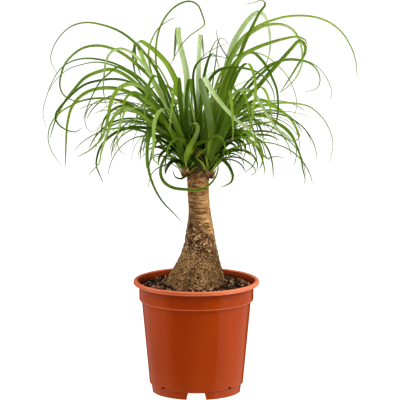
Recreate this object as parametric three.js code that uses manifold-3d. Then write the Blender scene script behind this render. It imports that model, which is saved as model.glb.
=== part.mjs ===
// A ponytail palm in a nursery pot: a swollen, corky trunk with three heads of long strap leaves,
// standing in potting soil. Millimetres, +Z up, the pot's axis on Z and its foot on z = 0.
import * as THREE from "three";
import { mergeVertices } from "three/addons/utils/BufferGeometryUtils.js";
import Module from "manifold-3d";

const wasm = await Module();
wasm.setup();

// ---- driving dimensions ----
const POT_HEIGHT = 152.4;
const POT_SEGMENTS = 36;
const WALL = 1.4;
const RIM_RADIUS = 85; // outside of the rolled rim
const RIM_INNER_RADIUS = 79;
const COLLAR_RADIUS = 77.3; // straight band under the rim
const COLLAR_FOOT = 126.2; // height where the band steps in to the tapered body
const BODY_TOP_RADIUS = 73.7;
const BODY_FOOT_RADIUS = 63.5;
const FOOT_HEIGHT = 10.6; // ring the pot stands on
const FOOT_RADIUS = 60.3;
const FOOT_TOP_RADIUS = 61.5;
const NOTCHES = 4; // drainage notches in the foot ring, the first one at the front
const NOTCH_WIDTH = [27, 22.5]; // at the floor and at the top
const DRAIN_SLOT = [14, 9]; // width and depth of the slot in the pot's floor behind each notch
const WEEP_SLOT = [6, 2.4]; // width and height of the small slots between the notches
const WEEP_RISE = 1; // from the top of the foot ring up to the small slots

const SOIL_LEVEL = 143.5;
const SOIL_GRAIN = 1.3; // height of the lumps on the soil
const CLEARANCE = 0.4; // between pieces that touch

const TRUNK_SEGMENTS = 24;
// Height, radius and sideways lean of the trunk, from its buried end to the stump between the heads.
const TRUNK = [
  [98, 0, -1.3],
  [98.6, 22, -1.3],
  [104, 33, -1.3],
  [114, 38.6, -1.3],
  [128, 40.6, -1.3],
  [141, 40.4, -1.3],
  [147, 39.7, -1.3],
  [151.5, 38.7, -1],
  [158, 36.8, -0.4],
  [165, 34, 0.3],
  [172, 31, 1.2],
  [179, 28, 2.3],
  [187, 25.4, 3.7],
  [196, 23.2, 4.6],
  [206, 20.8, 5.3],
  [217, 19, 5.3],
  [228, 17.3, 5.3],
  [240, 15.5, 4.9],
  [254, 14.5, 4],
  [268, 14.4, 2.9],
  [282, 14.5, 2.4],
  [292, 15, 2.2],
  [299, 15.6, 2.2],
  [306, 13.4, 2.2],
  [314, 10.6, 2.2],
  [322, 8.6, 2.2],
  [327, 5.4, 2.2],
  [328.5, 0, 2.2],
];
const BARK_RELIEF = 0.035; // depth of the bark's swells, as a share of the radius
const BARK_FROM = 152; // the trunk is plain below this height
// Rings of dry leaf bases round the trunk's neck: how many, their height, their distance from the
// trunk's axis and their lean towards it in degrees.
const SCALE_RINGS = [
  { count: 10, height: 291, radius: 13.4, lean: 15 },
  { count: 7, height: 306, radius: 10.2, lean: 14 },
];
const SCALE_SIZE = [4.2, 13, 5]; // half width, length and how much longer some are

// Foot of each head of leaves, the arc that its drawn leaves spread over, in degrees from +X
// towards +Y, how many of them it has and how long they are.
const HEADS = {
  left: { foot: [-12.5, -6, 300], sector: [108, 168], leaves: 11, lengths: [180, 240], seed: 11 },
  right: { foot: [17, -4, 300], sector: [12, 72], leaves: 11, lengths: [180, 240], seed: 23 },
  back: { foot: [3, 14, 302], sector: [48, 132], leaves: 18, lengths: [176, 234], seed: 45 },
};
const CORE = [7.2, 17]; // radius and half height of the bud that a head's leaves stand out of
const FACE_TURN = 42; // turn of a hand-placed leaf's upper face to the front, half that at its tip
const BLADE_FOLD = 0.3; // rise of a blade's edges over its keel, as a share of half its width
const BLADE_THICKNESS = 0.8;
const TIP_WIDTH = 0.9;
const SEGMENT_LENGTH = 28; // along a blade
// How a drawn leaf arches, in degrees: its slope at its foot and how much more some have, how far
// it bends down from there, how far it swerves and how far its tip rolls.
const ARCH = { rise: 48, steeper: 34, bend: [50, 96], swerve: 22, roll: 50, width: [6.5, 9], steps: 16 };

// Point in front of the plant from which the leaves in LEAVES are seen in their true outline. Their
// routes are points [x, z] of the upright plane through the pot's axis, and each point is moved
// along its line of sight to the leaf's own depth.
const EYE = new THREE.Vector3(4.9, -4000, 986.6);

// One leaf that is placed by hand: its head, its width, its blade's roll in degrees and its depth
// y, at the foot and the tip for the roll and at mid length and the tip for the depth.
const leaf = (head, width, roll, depth, route) => ({ head, width, roll, depth, route });
const LEAVES = [
  leaf("left", 5, [0, 20], [20, 40],
    [[-22, 350], [-38, 405], [-60, 448], [-80, 472], [-100, 488], [-122, 497], [-146, 501], [-166, 496],
      [-181, 483], [-191, 466], [-194, 450], [-186, 434]]),
  leaf("left", 7, [0, 30], [-10, -20],
    [[-24, 350], [-38, 390], [-52, 415], [-65, 431], [-80, 445], [-98, 459], [-115, 467], [-132, 470],
      [-150, 467], [-165, 457], [-175, 445], [-180, 431], [-182, 418], [-178, 405], [-166, 397], [-153, 396]]),
  leaf("left", 6, [0, 60], [-30, -45],
    [[-20, 345], [-34, 385], [-50, 412], [-64, 435], [-78, 453], [-90, 463], [-103, 466], [-114, 461],
      [-120, 450], [-123, 430], [-124, 410], [-120, 388]]),
  leaf("left", 4, [0, 10], [40, 75],
    [[-30, 365], [-50, 395], [-75, 425], [-100, 442], [-122, 450], [-146, 453], [-166, 449], [-181, 439],
      [-192, 422], [-200, 402], [-205, 381], [-201, 360]]),
  leaf("left", 4, [0, 0], [50, 80],
    [[-35, 360], [-60, 400], [-85, 430], [-110, 443], [-132, 448], [-152, 445], [-168, 440], [-182, 430],
      [-194, 415], [-200, 403]]),
  leaf("left", 8, [0, 35], [-20, -30],
    [[-30, 350], [-55, 390], [-80, 418], [-98, 432], [-114, 438], [-130, 435], [-148, 427], [-163, 411],
      [-174, 397], [-184, 380], [-191, 362], [-196, 345]]),
  leaf("left", 6, [0, 20], [-40, -70],
    [[-30, 345], [-55, 385], [-75, 410], [-92, 422], [-110, 425], [-130, 423], [-148, 418], [-162, 408],
      [-176, 394], [-187, 380], [-188, 371], [-182, 362], [-172, 356], [-162, 354], [-153, 359]]),
  leaf("left", 7, [0, 60], [-50, -75],
    [[-28, 340], [-55, 378], [-82, 403], [-105, 412], [-125, 413], [-143, 409], [-157, 400], [-167, 386],
      [-172, 368], [-174, 348], [-175, 325], [-176, 306]]),
  leaf("left", 5, [0, 10], [-10, 10],
    [[-30, 335], [-60, 368], [-88, 390], [-112, 398], [-135, 399], [-152, 396], [-168, 389], [-182, 380],
      [-193, 367], [-198, 352], [-197, 336], [-190, 321], [-181, 309]]),
  leaf("left", 4, [0, 0], [35, 45],
    [[-24, 332], [-50, 365], [-78, 388], [-100, 397], [-122, 398], [-136, 393], [-145, 384], [-149, 371],
      [-147, 360], [-141, 354], [-135, 355], [-132, 360]]),
  leaf("left", 4, [0, 50], [-60, -90],
    [[-26, 355], [-48, 395], [-72, 424], [-92, 438], [-106, 441], [-115, 434], [-127, 423], [-137, 407],
      [-144, 391], [-151, 372]]),
  leaf("left", 6, [0, 50], [-50, -60],
    [[-22, 335], [-38, 349], [-52, 357], [-66, 359], [-82, 360], [-96, 358], [-108, 353], [-119, 345],
      [-128, 334], [-133, 320], [-134, 308], [-130, 297], [-125, 285]]),
  leaf("left", 8, [10, 60], [-55, -85],
    [[-20, 345], [-34, 375], [-50, 396], [-64, 409], [-78, 417], [-92, 418], [-103, 413], [-110, 404],
      [-115, 391], [-118, 374], [-122, 358], [-126, 346], [-134, 337], [-146, 327], [-160, 320]]),
  leaf("left", 7, [0, 60], [-30, -40],
    [[-24, 340], [-42, 357], [-60, 371], [-76, 382], [-90, 389], [-104, 388], [-115, 381], [-123, 371],
      [-127, 357], [-127, 344]]),
  leaf("left", 7, [0, 70], [-75, -100],
    [[-22, 335], [-42, 352], [-62, 367], [-80, 380], [-94, 386], [-106, 380], [-114, 367], [-119, 352],
      [-124, 338], [-128, 324], [-130, 312], [-137, 304], [-145, 295]]),
  leaf("left", 4, [0, 30], [-85, -115],
    [[-26, 330], [-50, 352], [-72, 373], [-86, 384], [-95, 382], [-100, 368], [-104, 356], [-106, 343],
      [-104, 332], [-99, 325], [-94, 323]]),
  leaf("left", 8.5, [20, 60], [-95, -150],
    [[-20, 342], [-27, 362], [-35, 381], [-43, 385], [-50, 380], [-55, 369], [-57, 355], [-57, 340],
      [-58, 325], [-57, 316], [-49, 309]]),
  leaf("left", 6, [0, 40], [-80, -110],
    [[-26, 335], [-42, 350], [-55, 357], [-62, 352], [-65, 340], [-66, 325], [-65, 308], [-61, 290],
      [-53, 271], [-43, 256], [-33, 246], [-20, 232]]),
  leaf("left", 9.5, [0, 10], [20, 140],
    [[-16, 350], [-19, 385], [-25, 415], [-37, 442], [-50, 458], [-64, 470], [-75, 476], [-82, 468],
      [-84, 450], [-80, 425]]),
  leaf("left", 7, [0, 20], [-10, 150],
    [[-22, 350], [-40, 390], [-54, 415], [-64, 435], [-72, 455], [-79, 473], [-82, 468], [-80, 450],
      [-74, 430]]),
  leaf("left", 7, [20, 0], [20, 5],
    [[-20, 350], [-36, 385], [-48, 415], [-54, 445], [-54, 470], [-49, 494], [-39, 512], [-25, 525],
      [-9, 530], [2, 525], [8, 512], [11, 498], [2, 491], [-10, 482], [-20, 471], [-29, 455], [-36, 443]]),
  leaf("left", 6, [30, 60], [-35, -50],
    [[-20, 355], [-30, 395], [-41, 424], [-50, 440], [-60, 453], [-74, 466]]),
  leaf("left", 4, [0, 20], [60, 80],
    [[-30, 370], [-50, 405], [-59, 430], [-63, 450], [-63, 466], [-58, 481], [-49, 495], [-38, 503],
      [-28, 508]]),
  leaf("left", 8.5, [0, 50], [-40, -60],
    [[-22, 306], [-33, 318], [-44, 333], [-55, 346], [-62, 350], [-65, 338], [-67, 320], [-67, 305]]),
  leaf("left", 6, [0, 30], [-42, -60],
    [[-8, 335], [-12, 342], [-22, 345], [-31, 342], [-37, 334], [-39, 325], [-36, 321], [-30, 320]]),
  leaf("left", 7, [0, 80], [-48, -40],
    [[-24, 326], [-34, 326], [-42, 318], [-47, 306], [-47, 294], [-41, 284], [-30, 278], [-14, 276],
      [2, 275], [13, 279], [22, 287], [28, 298], [29, 309], [25, 317]]),
  leaf("left", 8, [0, 10], [-55, -80],
    [[-8, 332], [-3, 342], [1, 352], [2, 361], [-2, 366], [-8, 363]]),
  leaf("left", 7, [30, 60], [-46, -60],
    [[-8, 330], [0, 337], [10, 341], [19, 345], [27, 349], [34, 346], [38, 338], [38, 330], [35, 323]]),
  leaf("left", 4, [0, 30], [20, 30],
    [[-24, 316], [-34, 311], [-44, 308], [-53, 304], [-60, 297], [-63, 288], [-65, 277]]),
  leaf("left", 4, [0, 30], [30, 40],
    [[-25, 325], [-40, 329], [-52, 333], [-62, 332], [-68, 325], [-74, 319]]),
  leaf("left", 8.5, [60, 60], [-30, -34],
    [[-6, 320], [2, 311], [9, 301], [13, 296]]),
  leaf("left", 9.5, [0, 10], [20, 172],
    [[-14, 350], [-15, 385], [-12, 415], [-14, 438], [-19, 460], [-23, 480], [-24, 494], [-26, 488],
      [-28, 470], [-30, 450]]),
  leaf("left", 8, [10, 20], [-75, -165],
    [[-14, 340], [-19, 370], [-22, 400], [-23, 420], [-25, 428], [-28, 420], [-31, 400], [-34, 375],
      [-36, 355]]),
  leaf("left", 7, [10, 20], [-70, -150],
    [[-12, 345], [-13, 380], [-12, 410], [-9, 425], [-7, 420], [-6, 400], [-5, 378]]),
  leaf("left", 8, [0, 20], [-80, -160],
    [[-22, 345], [-36, 385], [-46, 415], [-52, 428], [-58, 428], [-64, 415], [-68, 392], [-70, 370]]),
  leaf("left", 8, [20, 60], [-95, -160],
    [[-26, 340], [-50, 378], [-70, 400], [-84, 407], [-94, 400], [-100, 382], [-104, 362]]),
  leaf("right", 8, [10, 20], [-75, -130],
    [[22, 340], [20, 365], [15, 388], [10, 408], [7, 423], [10, 427], [19, 412], [30, 396], [42, 382],
      [55, 369], [68, 359], [82, 349], [98, 342]]),
  leaf("right", 10.5, [20, 10], [40, 30],
    [[24, 350], [32, 400], [40, 440], [49, 472], [60, 492], [71, 507], [82, 515], [91, 509], [96, 493],
      [98, 476], [97, 460], [93, 446], [87, 438]]),
  leaf("right", 7, [30, 20], [-20, -45],
    [[28, 360], [42, 410], [56, 450], [64, 472], [74, 494], [84, 514], [92, 526], [87, 531], [78, 528],
      [64, 525]]),
  leaf("right", 5, [0, 30], [30, 0],
    [[22, 370], [36, 430], [56, 474], [78, 494], [98, 503], [120, 509], [145, 510], [166, 506], [182, 498],
      [195, 486], [204, 472], [210, 458], [213, 445], [214, 431]]),
  leaf("right", 6, [10, 40], [0, -30],
    [[26, 375], [42, 440], [60, 474], [76, 489], [92, 497], [108, 499], [121, 496], [131, 488], [138, 474],
      [141, 457], [139, 440], [131, 425], [121, 414], [111, 407]]),
  leaf("right", 8, [20, 20], [-50, -80],
    [[24, 350], [34, 400], [47, 438], [60, 455], [76, 465], [96, 473], [116, 479], [134, 482], [143, 479],
      [147, 475], [144, 470]]),
  leaf("right", 7, [10, 60], [-40, -75],
    [[30, 345], [48, 375], [66, 398], [82, 414], [96, 431], [111, 448], [125, 464], [138, 477], [145, 470],
      [144, 458], [137, 447], [128, 432], [119, 418], [112, 407]]),
  leaf("right", 6, [0, 20], [20, 35],
    [[30, 345], [50, 385], [70, 414], [88, 433], [104, 446], [120, 451], [140, 450], [152, 446], [161, 437],
      [165, 424], [162, 414], [155, 410], [145, 408]]),
  leaf("right", 4, [0, 0], [50, 75],
    [[30, 355], [60, 410], [90, 440], [120, 452], [145, 450], [160, 443], [170, 433], [177, 420], [181, 407],
      [178, 397]]),
  leaf("right", 6, [0, 50], [-30, -65],
    [[24, 345], [38, 400], [52, 438], [64, 457], [75, 461], [85, 453], [94, 441], [101, 427], [107, 412],
      [109, 396], [109, 380], [106, 365], [100, 356], [90, 349]]),
  leaf("right", 4, [0, 0], [60, 90],
    [[20, 390], [34, 435], [50, 455], [66, 461], [82, 460], [96, 454], [109, 443], [120, 431], [128, 417],
      [133, 402], [134, 388], [130, 374]]),
  leaf("right", 7, [20, 30], [-45, -75],
    [[14, 395], [17, 422], [30, 437], [46, 441], [62, 440], [77, 436], [89, 429], [98, 418], [103, 407],
      [104, 397], [101, 390]]),
  leaf("right", 7, [10, 60], [-70, -120],
    [[24, 350], [34, 380], [48, 402], [62, 411], [75, 407], [84, 396], [92, 382], [100, 369], [109, 358],
      [117, 350], [125, 343], [131, 341], [137, 345]]),
  leaf("right", 7, [0, 40], [-20, -30],
    [[30, 345], [48, 372], [66, 390], [84, 397], [98, 393], [110, 385], [121, 376], [130, 366], [136, 354],
      [138, 347], [133, 342], [126, 342]]),
  leaf("right", 6, [0, 50], [-60, -80],
    [[30, 340], [50, 362], [72, 376], [92, 375], [108, 366], [120, 357], [129, 346], [135, 333], [140, 319],
      [143, 302], [146, 289], [144, 283]]),
  leaf("right", 4, [0, 20], [25, 35],
    [[28, 335], [48, 352], [70, 362], [90, 366], [106, 367], [118, 361], [127, 352], [133, 340], [134, 326],
      [133, 315], [130, 308], [127, 311]]),
  leaf("right", 5, [0, 10], [40, 60],
    [[26, 350], [50, 372], [74, 385], [95, 391], [115, 393], [135, 392], [151, 388], [163, 379], [173, 367],
      [180, 352], [183, 337], [181, 323], [178, 312]]),
  leaf("right", 4, [0, 0], [70, 100],
    [[28, 350], [56, 376], [86, 389], [108, 386], [125, 374], [138, 365], [147, 355], [152, 345], [154, 336]]),
  leaf("right", 7, [0, 30], [-35, -60],
    [[30, 337], [48, 347], [66, 350], [84, 350], [98, 349], [111, 343]]),
  leaf("right", 7, [0, 30], [-70, -110],
    [[32, 334], [48, 343], [62, 346], [74, 341], [82, 333], [88, 325], [93, 319], [99, 316]]),
  leaf("right", 7.5, [0, 60], [-55, -80],
    [[30, 340], [50, 352], [68, 354], [80, 344], [87, 331], [89, 318], [87, 308], [83, 303]]),
  leaf("right", 5, [0, 30], [-40, -70],
    [[28, 322], [42, 326], [56, 329], [69, 327], [78, 319], [82, 310], [81, 302]]),
  leaf("right", 6, [0, 60], [-55, -90],
    [[32, 332], [46, 341], [57, 343], [65, 336], [66, 327], [63, 319], [59, 314]]),
  leaf("right", 4, [0, 0], [20, 30],
    [[30, 345], [55, 355], [75, 350], [88, 338], [92, 325], [95, 318], [105, 321], [116, 319]]),
  leaf("right", 7, [10, 70], [-110, -172],
    [[30, 360], [44, 405], [58, 438], [69, 446], [76, 432], [79, 412], [77, 392], [74, 370], [71, 350],
      [71, 336], [74, 323]]),
  leaf("right", 6, [0, 40], [-30, -50],
    [[26, 318], [34, 317], [41, 311], [46, 303], [49, 294], [47, 286], [41, 282], [33, 279]]),
  leaf("right", 4, [0, 30], [-45, -60],
    [[32, 326], [39, 331], [43, 323], [45, 314], [46, 309]]),
  leaf("right", 7, [10, 40], [10, 20],
    [[20, 385], [24, 410], [34, 420], [46, 417], [56, 405], [66, 392], [76, 380]]),
  leaf("right", 7.5, [0, 30], [-75, -168],
    [[30, 338], [37, 372], [41, 400], [43, 410], [46, 404], [48, 385], [49, 362], [49, 342]]),
  leaf("right", 8, [30, 70], [-90, -150],
    [[30, 340], [44, 378], [54, 402], [60, 408], [66, 400], [70, 380], [72, 360]]),
  leaf("right", 8, [20, 60], [-95, -160],
    [[34, 345], [56, 385], [74, 408], [86, 414], [94, 405], [99, 385], [102, 365]]),
  leaf("back", 8, [0, 0], [50, 172],
    [[3, 370], [3, 410], [3, 440], [4, 462], [5, 482], [6, 484], [8, 474], [10, 455]]),
  leaf("back", 7, [40, 50], [5, -10],
    [[4, 370], [6, 405], [10, 430], [15, 449], [20, 465], [25, 475], [29, 479]]),
  leaf("back", 5, [10, 20], [-15, -25],
    [[1, 370], [-3, 405], [-4, 432], [0, 445], [8, 452], [18, 456], [30, 456], [41, 453]]),
  leaf("back", 4, [0, 10], [20, 30],
    [[-2, 390], [-4, 430], [4, 450], [14, 460], [24, 466], [33, 470], [40, 473]]),
  leaf("back", 7, [30, 60], [-5, -30],
    [[6, 380], [10, 425], [14, 445], [19, 458], [24, 459], [28, 449], [31, 438]]),
];

// ---- helpers ----
const radians = THREE.MathUtils.degToRad;

// Repeatable draws between 0 and 1.
function seeded(seed) {
  let state = seed;
  return () => {
    state = (state + 0x6d2b79f5) | 0;
    let mixed = Math.imul(state ^ (state >>> 15), 1 | state);
    mixed = (mixed + Math.imul(mixed ^ (mixed >>> 7), 61 | mixed)) ^ mixed;
    return ((mixed ^ (mixed >>> 14)) >>> 0) / 4294967296;
  };
}

// Surface of revolution about Z through rows [radius, z]; place moves each point afterwards and
// gets the point, its row's number and its angle, 0 at the front.
function turned(rows, segments, place = () => {}) {
  const profile = rows.map(([radius, z]) => new THREE.Vector2(radius, z));
  const geometry = new THREE.LatheGeometry(profile, segments).rotateX(Math.PI / 2);
  const positions = geometry.attributes.position;
  const point = new THREE.Vector3();
  for (let i = 0; i < positions.count; i += 1) {
    const ring = Math.floor(i / rows.length) % segments;
    point.fromBufferAttribute(positions, i);
    place(point, i % rows.length, (2 * Math.PI * ring) / segments);
    positions.setXYZ(i, point.x, point.y, point.z);
  }
  return geometry;
}

// A closed geometry as a solid that can be joined and cut.
function solid(geometry) {
  const bare = geometry.clone();
  bare.deleteAttribute("normal");
  bare.deleteAttribute("uv");
  const merged = mergeVertices(bare, 1e-4);
  return new wasm.Manifold(
    new wasm.Mesh({
      numProp: 3,
      vertProperties: merged.attributes.position.array,
      triVerts: new Uint32Array(merged.index.array),
    }),
  );
}

// The largest body of a solid: loose scraps are dropped, and hollows that joining sealed are filled.
function largestBody(body) {
  return body.decompose().reduce((best, part) => (part.volume() > best.volume() ? part : best));
}

// A solid back as a geometry.
function surface(body) {
  const mesh = body.getMesh();
  const geometry = new THREE.BufferGeometry();
  geometry.setAttribute("position", new THREE.BufferAttribute(mesh.vertProperties, 3));
  geometry.setIndex(new THREE.BufferAttribute(mesh.triVerts, 1));
  geometry.computeVertexNormals();
  return geometry;
}

function piece(name, body, color, roughness) {
  const material = new THREE.MeshStandardMaterial({ color, roughness, metalness: 0 });
  const mesh = new THREE.Mesh(surface(body), material);
  mesh.name = name;
  return mesh;
}

// ---- pot ----
function potProfile() {
  const inside = COLLAR_RADIUS - WALL;
  return [
    [0, FOOT_HEIGHT - WALL / 2],
    [FOOT_TOP_RADIUS - WALL - 0.1, FOOT_HEIGHT - WALL / 2],
    [FOOT_RADIUS - WALL, 0],
    [FOOT_RADIUS, 0],
    [FOOT_TOP_RADIUS, FOOT_HEIGHT],
    [BODY_FOOT_RADIUS - 0.7, FOOT_HEIGHT + 0.7],
    [BODY_FOOT_RADIUS, FOOT_HEIGHT + 3.4],
    [BODY_TOP_RADIUS, COLLAR_FOOT - 1.7],
    [COLLAR_RADIUS - 0.3, COLLAR_FOOT],
    [COLLAR_RADIUS, POT_HEIGHT - 6],
    [RIM_RADIUS - 1.6, POT_HEIGHT - 5.2],
    [RIM_RADIUS, POT_HEIGHT - 3.7],
    [RIM_RADIUS - 0.4, POT_HEIGHT - 2.7],
    [RIM_RADIUS, POT_HEIGHT - 1.8],
    [RIM_RADIUS - 1.5, POT_HEIGHT],
    [RIM_INNER_RADIUS + 1, POT_HEIGHT],
    [RIM_INNER_RADIUS - 0.8, POT_HEIGHT - 1.6],
    [inside, POT_HEIGHT - 7],
    [inside - 0.3, COLLAR_FOOT + 0.6],
    [BODY_TOP_RADIUS - WALL, COLLAR_FOOT - 1.7],
    [BODY_FOOT_RADIUS - WALL, FOOT_HEIGHT + 3.4],
    [BODY_FOOT_RADIUS - WALL - 2, FOOT_HEIGHT + WALL / 2],
    [0, FOOT_HEIGHT + WALL / 2],
  ];
}

// Prism along Y over an outline in X and Z, from radius inner to radius outer, turned about Z.
function radialCut(outline, inner, outer, angle) {
  const shape = new THREE.Shape(outline.map(([x, z]) => new THREE.Vector2(x, z)));
  const geometry = new THREE.ExtrudeGeometry(shape, { depth: outer - inner, bevelEnabled: false });
  geometry.rotateX(Math.PI / 2);
  geometry.translate(0, -inner, 0);
  geometry.rotateZ(angle);
  return solid(geometry);
}

function box(width, low, high) {
  return [
    [-width / 2, low],
    [width / 2, low],
    [width / 2, high],
    [-width / 2, high],
  ];
}

function makePot() {
  let pot = solid(turned(potProfile(), POT_SEGMENTS));
  const top = FOOT_HEIGHT - WALL / 2 - 0.2;
  const notch = [
    [-NOTCH_WIDTH[0] / 2, -1],
    [NOTCH_WIDTH[0] / 2, -1],
    [NOTCH_WIDTH[1] / 2, top],
    [-NOTCH_WIDTH[1] / 2, top],
  ];
  const [slotWidth, slotDepth] = DRAIN_SLOT;
  const [weepWidth, weepHeight] = WEEP_SLOT;
  const weepFoot = FOOT_HEIGHT + WEEP_RISE;
  for (let i = 0; i < NOTCHES; i += 1) {
    const angle = (2 * Math.PI * i) / NOTCHES;
    const slot = box(slotWidth, 1, FOOT_HEIGHT + 2);
    const weep = box(weepWidth, weepFoot, weepFoot + weepHeight);
    pot = pot
      .subtract(radialCut(notch, FOOT_RADIUS - 8, RIM_RADIUS, angle))
      .subtract(radialCut(slot, FOOT_RADIUS - 3 - slotDepth, FOOT_RADIUS - 3, angle))
      .subtract(radialCut(weep, FOOT_RADIUS - 6, RIM_RADIUS, angle + Math.PI / NOTCHES));
  }
  return pot;
}

// ---- trunk ----
// Swells of the bark at a height and an angle, as a share of the radius.
function bark(z, angle) {
  const fade = THREE.MathUtils.smoothstep(z, BARK_FROM, BARK_FROM + 12);
  const swell = 0.6 * Math.sin(3 * angle + z / 19) + 0.4 * Math.sin(7 * angle - z / 11);
  const scars = 0.35 * Math.sin(z * 1.1);
  return fade * BARK_RELIEF * (swell + scars);
}

// The trunk's bare body, grown outwards by a gap.
function trunkBody(gap) {
  const rows = TRUNK.map(([z, radius], i) => {
    const end = radius === 0 ? Math.sign(i - 1) * gap : 0;
    return [radius === 0 ? 0 : radius + gap, z + end];
  });
  return solid(
    turned(rows, TRUNK_SEGMENTS, (point, row, angle) => {
      const [z, , lean] = TRUNK[row];
      const swell = 1 + bark(z, angle);
      point.set(point.x * swell + lean, point.y * swell, point.z);
    }),
  );
}

// A dry, pointed leaf base that leans against the trunk's neck, grown outwards by a gap.
function leafScale({ height, radius, lean }, angle, length, gap) {
  const cone = new THREE.ConeGeometry(SCALE_SIZE[0] + 2 * gap, length + 4 * gap, 5);
  cone.scale(1, 1, 0.36).rotateX(Math.PI / 2).translate(0, 0, length / 2 - 4);
  cone.rotateX(radians(lean)).translate(0, -radius, height);
  cone.rotateZ(angle).translate(TRUNK[TRUNK.length - 1][2], 0, 0);
  return solid(cone);
}

function makeTrunk(gap) {
  const random = seeded(5);
  let trunk = trunkBody(gap);
  for (const ring of SCALE_RINGS) {
    for (let i = 0; i < ring.count; i += 1) {
      const angle = (2 * Math.PI * (i + 0.3 * random())) / ring.count;
      const length = SCALE_SIZE[1] + SCALE_SIZE[2] * random();
      trunk = trunk.add(leafScale(ring, angle, length, gap));
    }
  }
  return trunk;
}

// ---- soil ----
function makeSoil() {
  const hole = TRUNK.filter(([z]) => z < SOIL_LEVEL).map(([z, radius, lean]) => ({
    radius: radius === 0 ? 0 : radius + CLEARANCE,
    z: radius === 0 ? z - CLEARANCE : z,
    lean,
    lumps: 0,
  }));
  const brim = hole[hole.length - 1].radius;
  const wall = COLLAR_RADIUS - WALL - CLEARANCE;
  const rings = 4;
  const top = [];
  for (let i = 0; i <= rings; i += 1) {
    const share = i / rings;
    const rise = 2.2 * (1 - share) ** 2;
    const lumps = i === rings ? 0.3 : 1;
    const lean = TRUNK[0][2] * (1 - share);
    top.push({ radius: brim + share * (wall - brim), z: SOIL_LEVEL + rise, lean, lumps });
  }
  const side = [
    [COLLAR_RADIUS - WALL - 0.3 - CLEARANCE, COLLAR_FOOT + 0.6],
    [BODY_TOP_RADIUS - WALL - CLEARANCE, COLLAR_FOOT - 1.7],
    [BODY_FOOT_RADIUS - WALL - CLEARANCE, FOOT_HEIGHT + 3.8],
    [BODY_FOOT_RADIUS - WALL - 2 - CLEARANCE, FOOT_HEIGHT + WALL / 2 + CLEARANCE],
    [0, FOOT_HEIGHT + WALL / 2 + CLEARANCE],
  ].map(([radius, z]) => ({ radius, z, lean: 0, lumps: 0 }));
  const rows = [...hole, ...top, ...side].reverse();
  const random = seeded(71);
  const phases = Array.from({ length: POT_SEGMENTS * rows.length }, random);
  const outline = rows.map(({ radius, z }) => [radius, z]);
  const place = (point, row, angle) => {
    const spot = Math.round((angle * POT_SEGMENTS) / (2 * Math.PI)) * rows.length + row;
    point.x += rows[row].lean;
    point.z += rows[row].lumps * SOIL_GRAIN * (2 * phases[spot] - 1);
  };
  return solid(turned(outline, POT_SEGMENTS, place));
}

// ---- leaves ----
// Points of a hand-placed leaf, from inside its head's bud to its tip.
function placedRoute({ head, depth, route }) {
  const [x, y, z] = HEADS[head].foot;
  const [firstX, firstZ] = route[0];
  const rise = Math.atan2(firstZ - z, Math.abs(firstX - x));
  const root = new THREE.Vector3(x, y, z + 20 * Math.max(0, Math.sin(rise)));
  const points = route.map(([planeX, planeZ], i) => {
    const t = (i + 1) / route.length;
    const along = y * (1 - t) * (1 - 2 * t) + depth[0] * 4 * t * (1 - t) + depth[1] * t * (2 * t - 1);
    return new THREE.Vector3(planeX, 0, planeZ).sub(EYE).multiplyScalar(1 - along / EYE.y).add(EYE);
  });
  return [root, ...points];
}

// Roll in degrees at the foot and at the tip of a hand-placed leaf, its upper face to the front.
function placedRoll(roll, route) {
  const reach = route[Math.round(0.6 * (route.length - 1))].clone().sub(route[0]);
  const aside = reach.x / Math.hypot(reach.x, reach.y);
  const sign = Math.sign(aside);
  return [FACE_TURN * aside + sign * roll[0], 0.5 * FACE_TURN * aside + sign * roll[1]];
}

// A leaf that a head grows by rule: it rises, arches over and hangs, swerving a little.
function drawnLeaf(head, index, random) {
  const { foot, sector, leaves, lengths } = HEADS[head];
  const between = (low, high) => low + (high - low) * random();
  const bearing = sector[0] + ((index + random()) / leaves) * (sector[1] - sector[0]);
  const upright = (index * 0.618034) % 1;
  const rise = ARCH.rise + ARCH.steeper * upright;
  const length = between(lengths[0], THREE.MathUtils.lerp(lengths[0], lengths[1], upright));
  const fall = rise + between(ARCH.bend[0], ARCH.bend[1]);
  const swerve = between(-ARCH.swerve, ARCH.swerve);
  const point = new THREE.Vector3(foot[0], foot[1], foot[2] + 4 + 16 * upright);
  const route = [point.clone()];
  for (let step = 0; step < ARCH.steps; step += 1) {
    const t = (step + 0.5) / ARCH.steps;
    const pitch = radians(rise - fall * t ** 1.2);
    const turn = radians(bearing + swerve * t * t);
    const stride = length / ARCH.steps;
    point.x += stride * Math.cos(pitch) * Math.cos(turn);
    point.y += stride * Math.cos(pitch) * Math.sin(turn);
    point.z += stride * Math.sin(pitch);
    route.push(point.clone());
  }
  const roll = [0, between(-ARCH.roll, ARCH.roll)];
  return { width: between(ARCH.width[0], ARCH.width[1]), roll, route };
}

// Width of a blade at t from its foot to its tip: broad where it clasps the bud, then tapering.
function bladeWidth(width, t) {
  return TIP_WIDTH + (width - TIP_WIDTH) * (1 - t ** 1.7) ** 0.8 * (1 + 0.2 * Math.exp(-14 * t));
}

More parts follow.
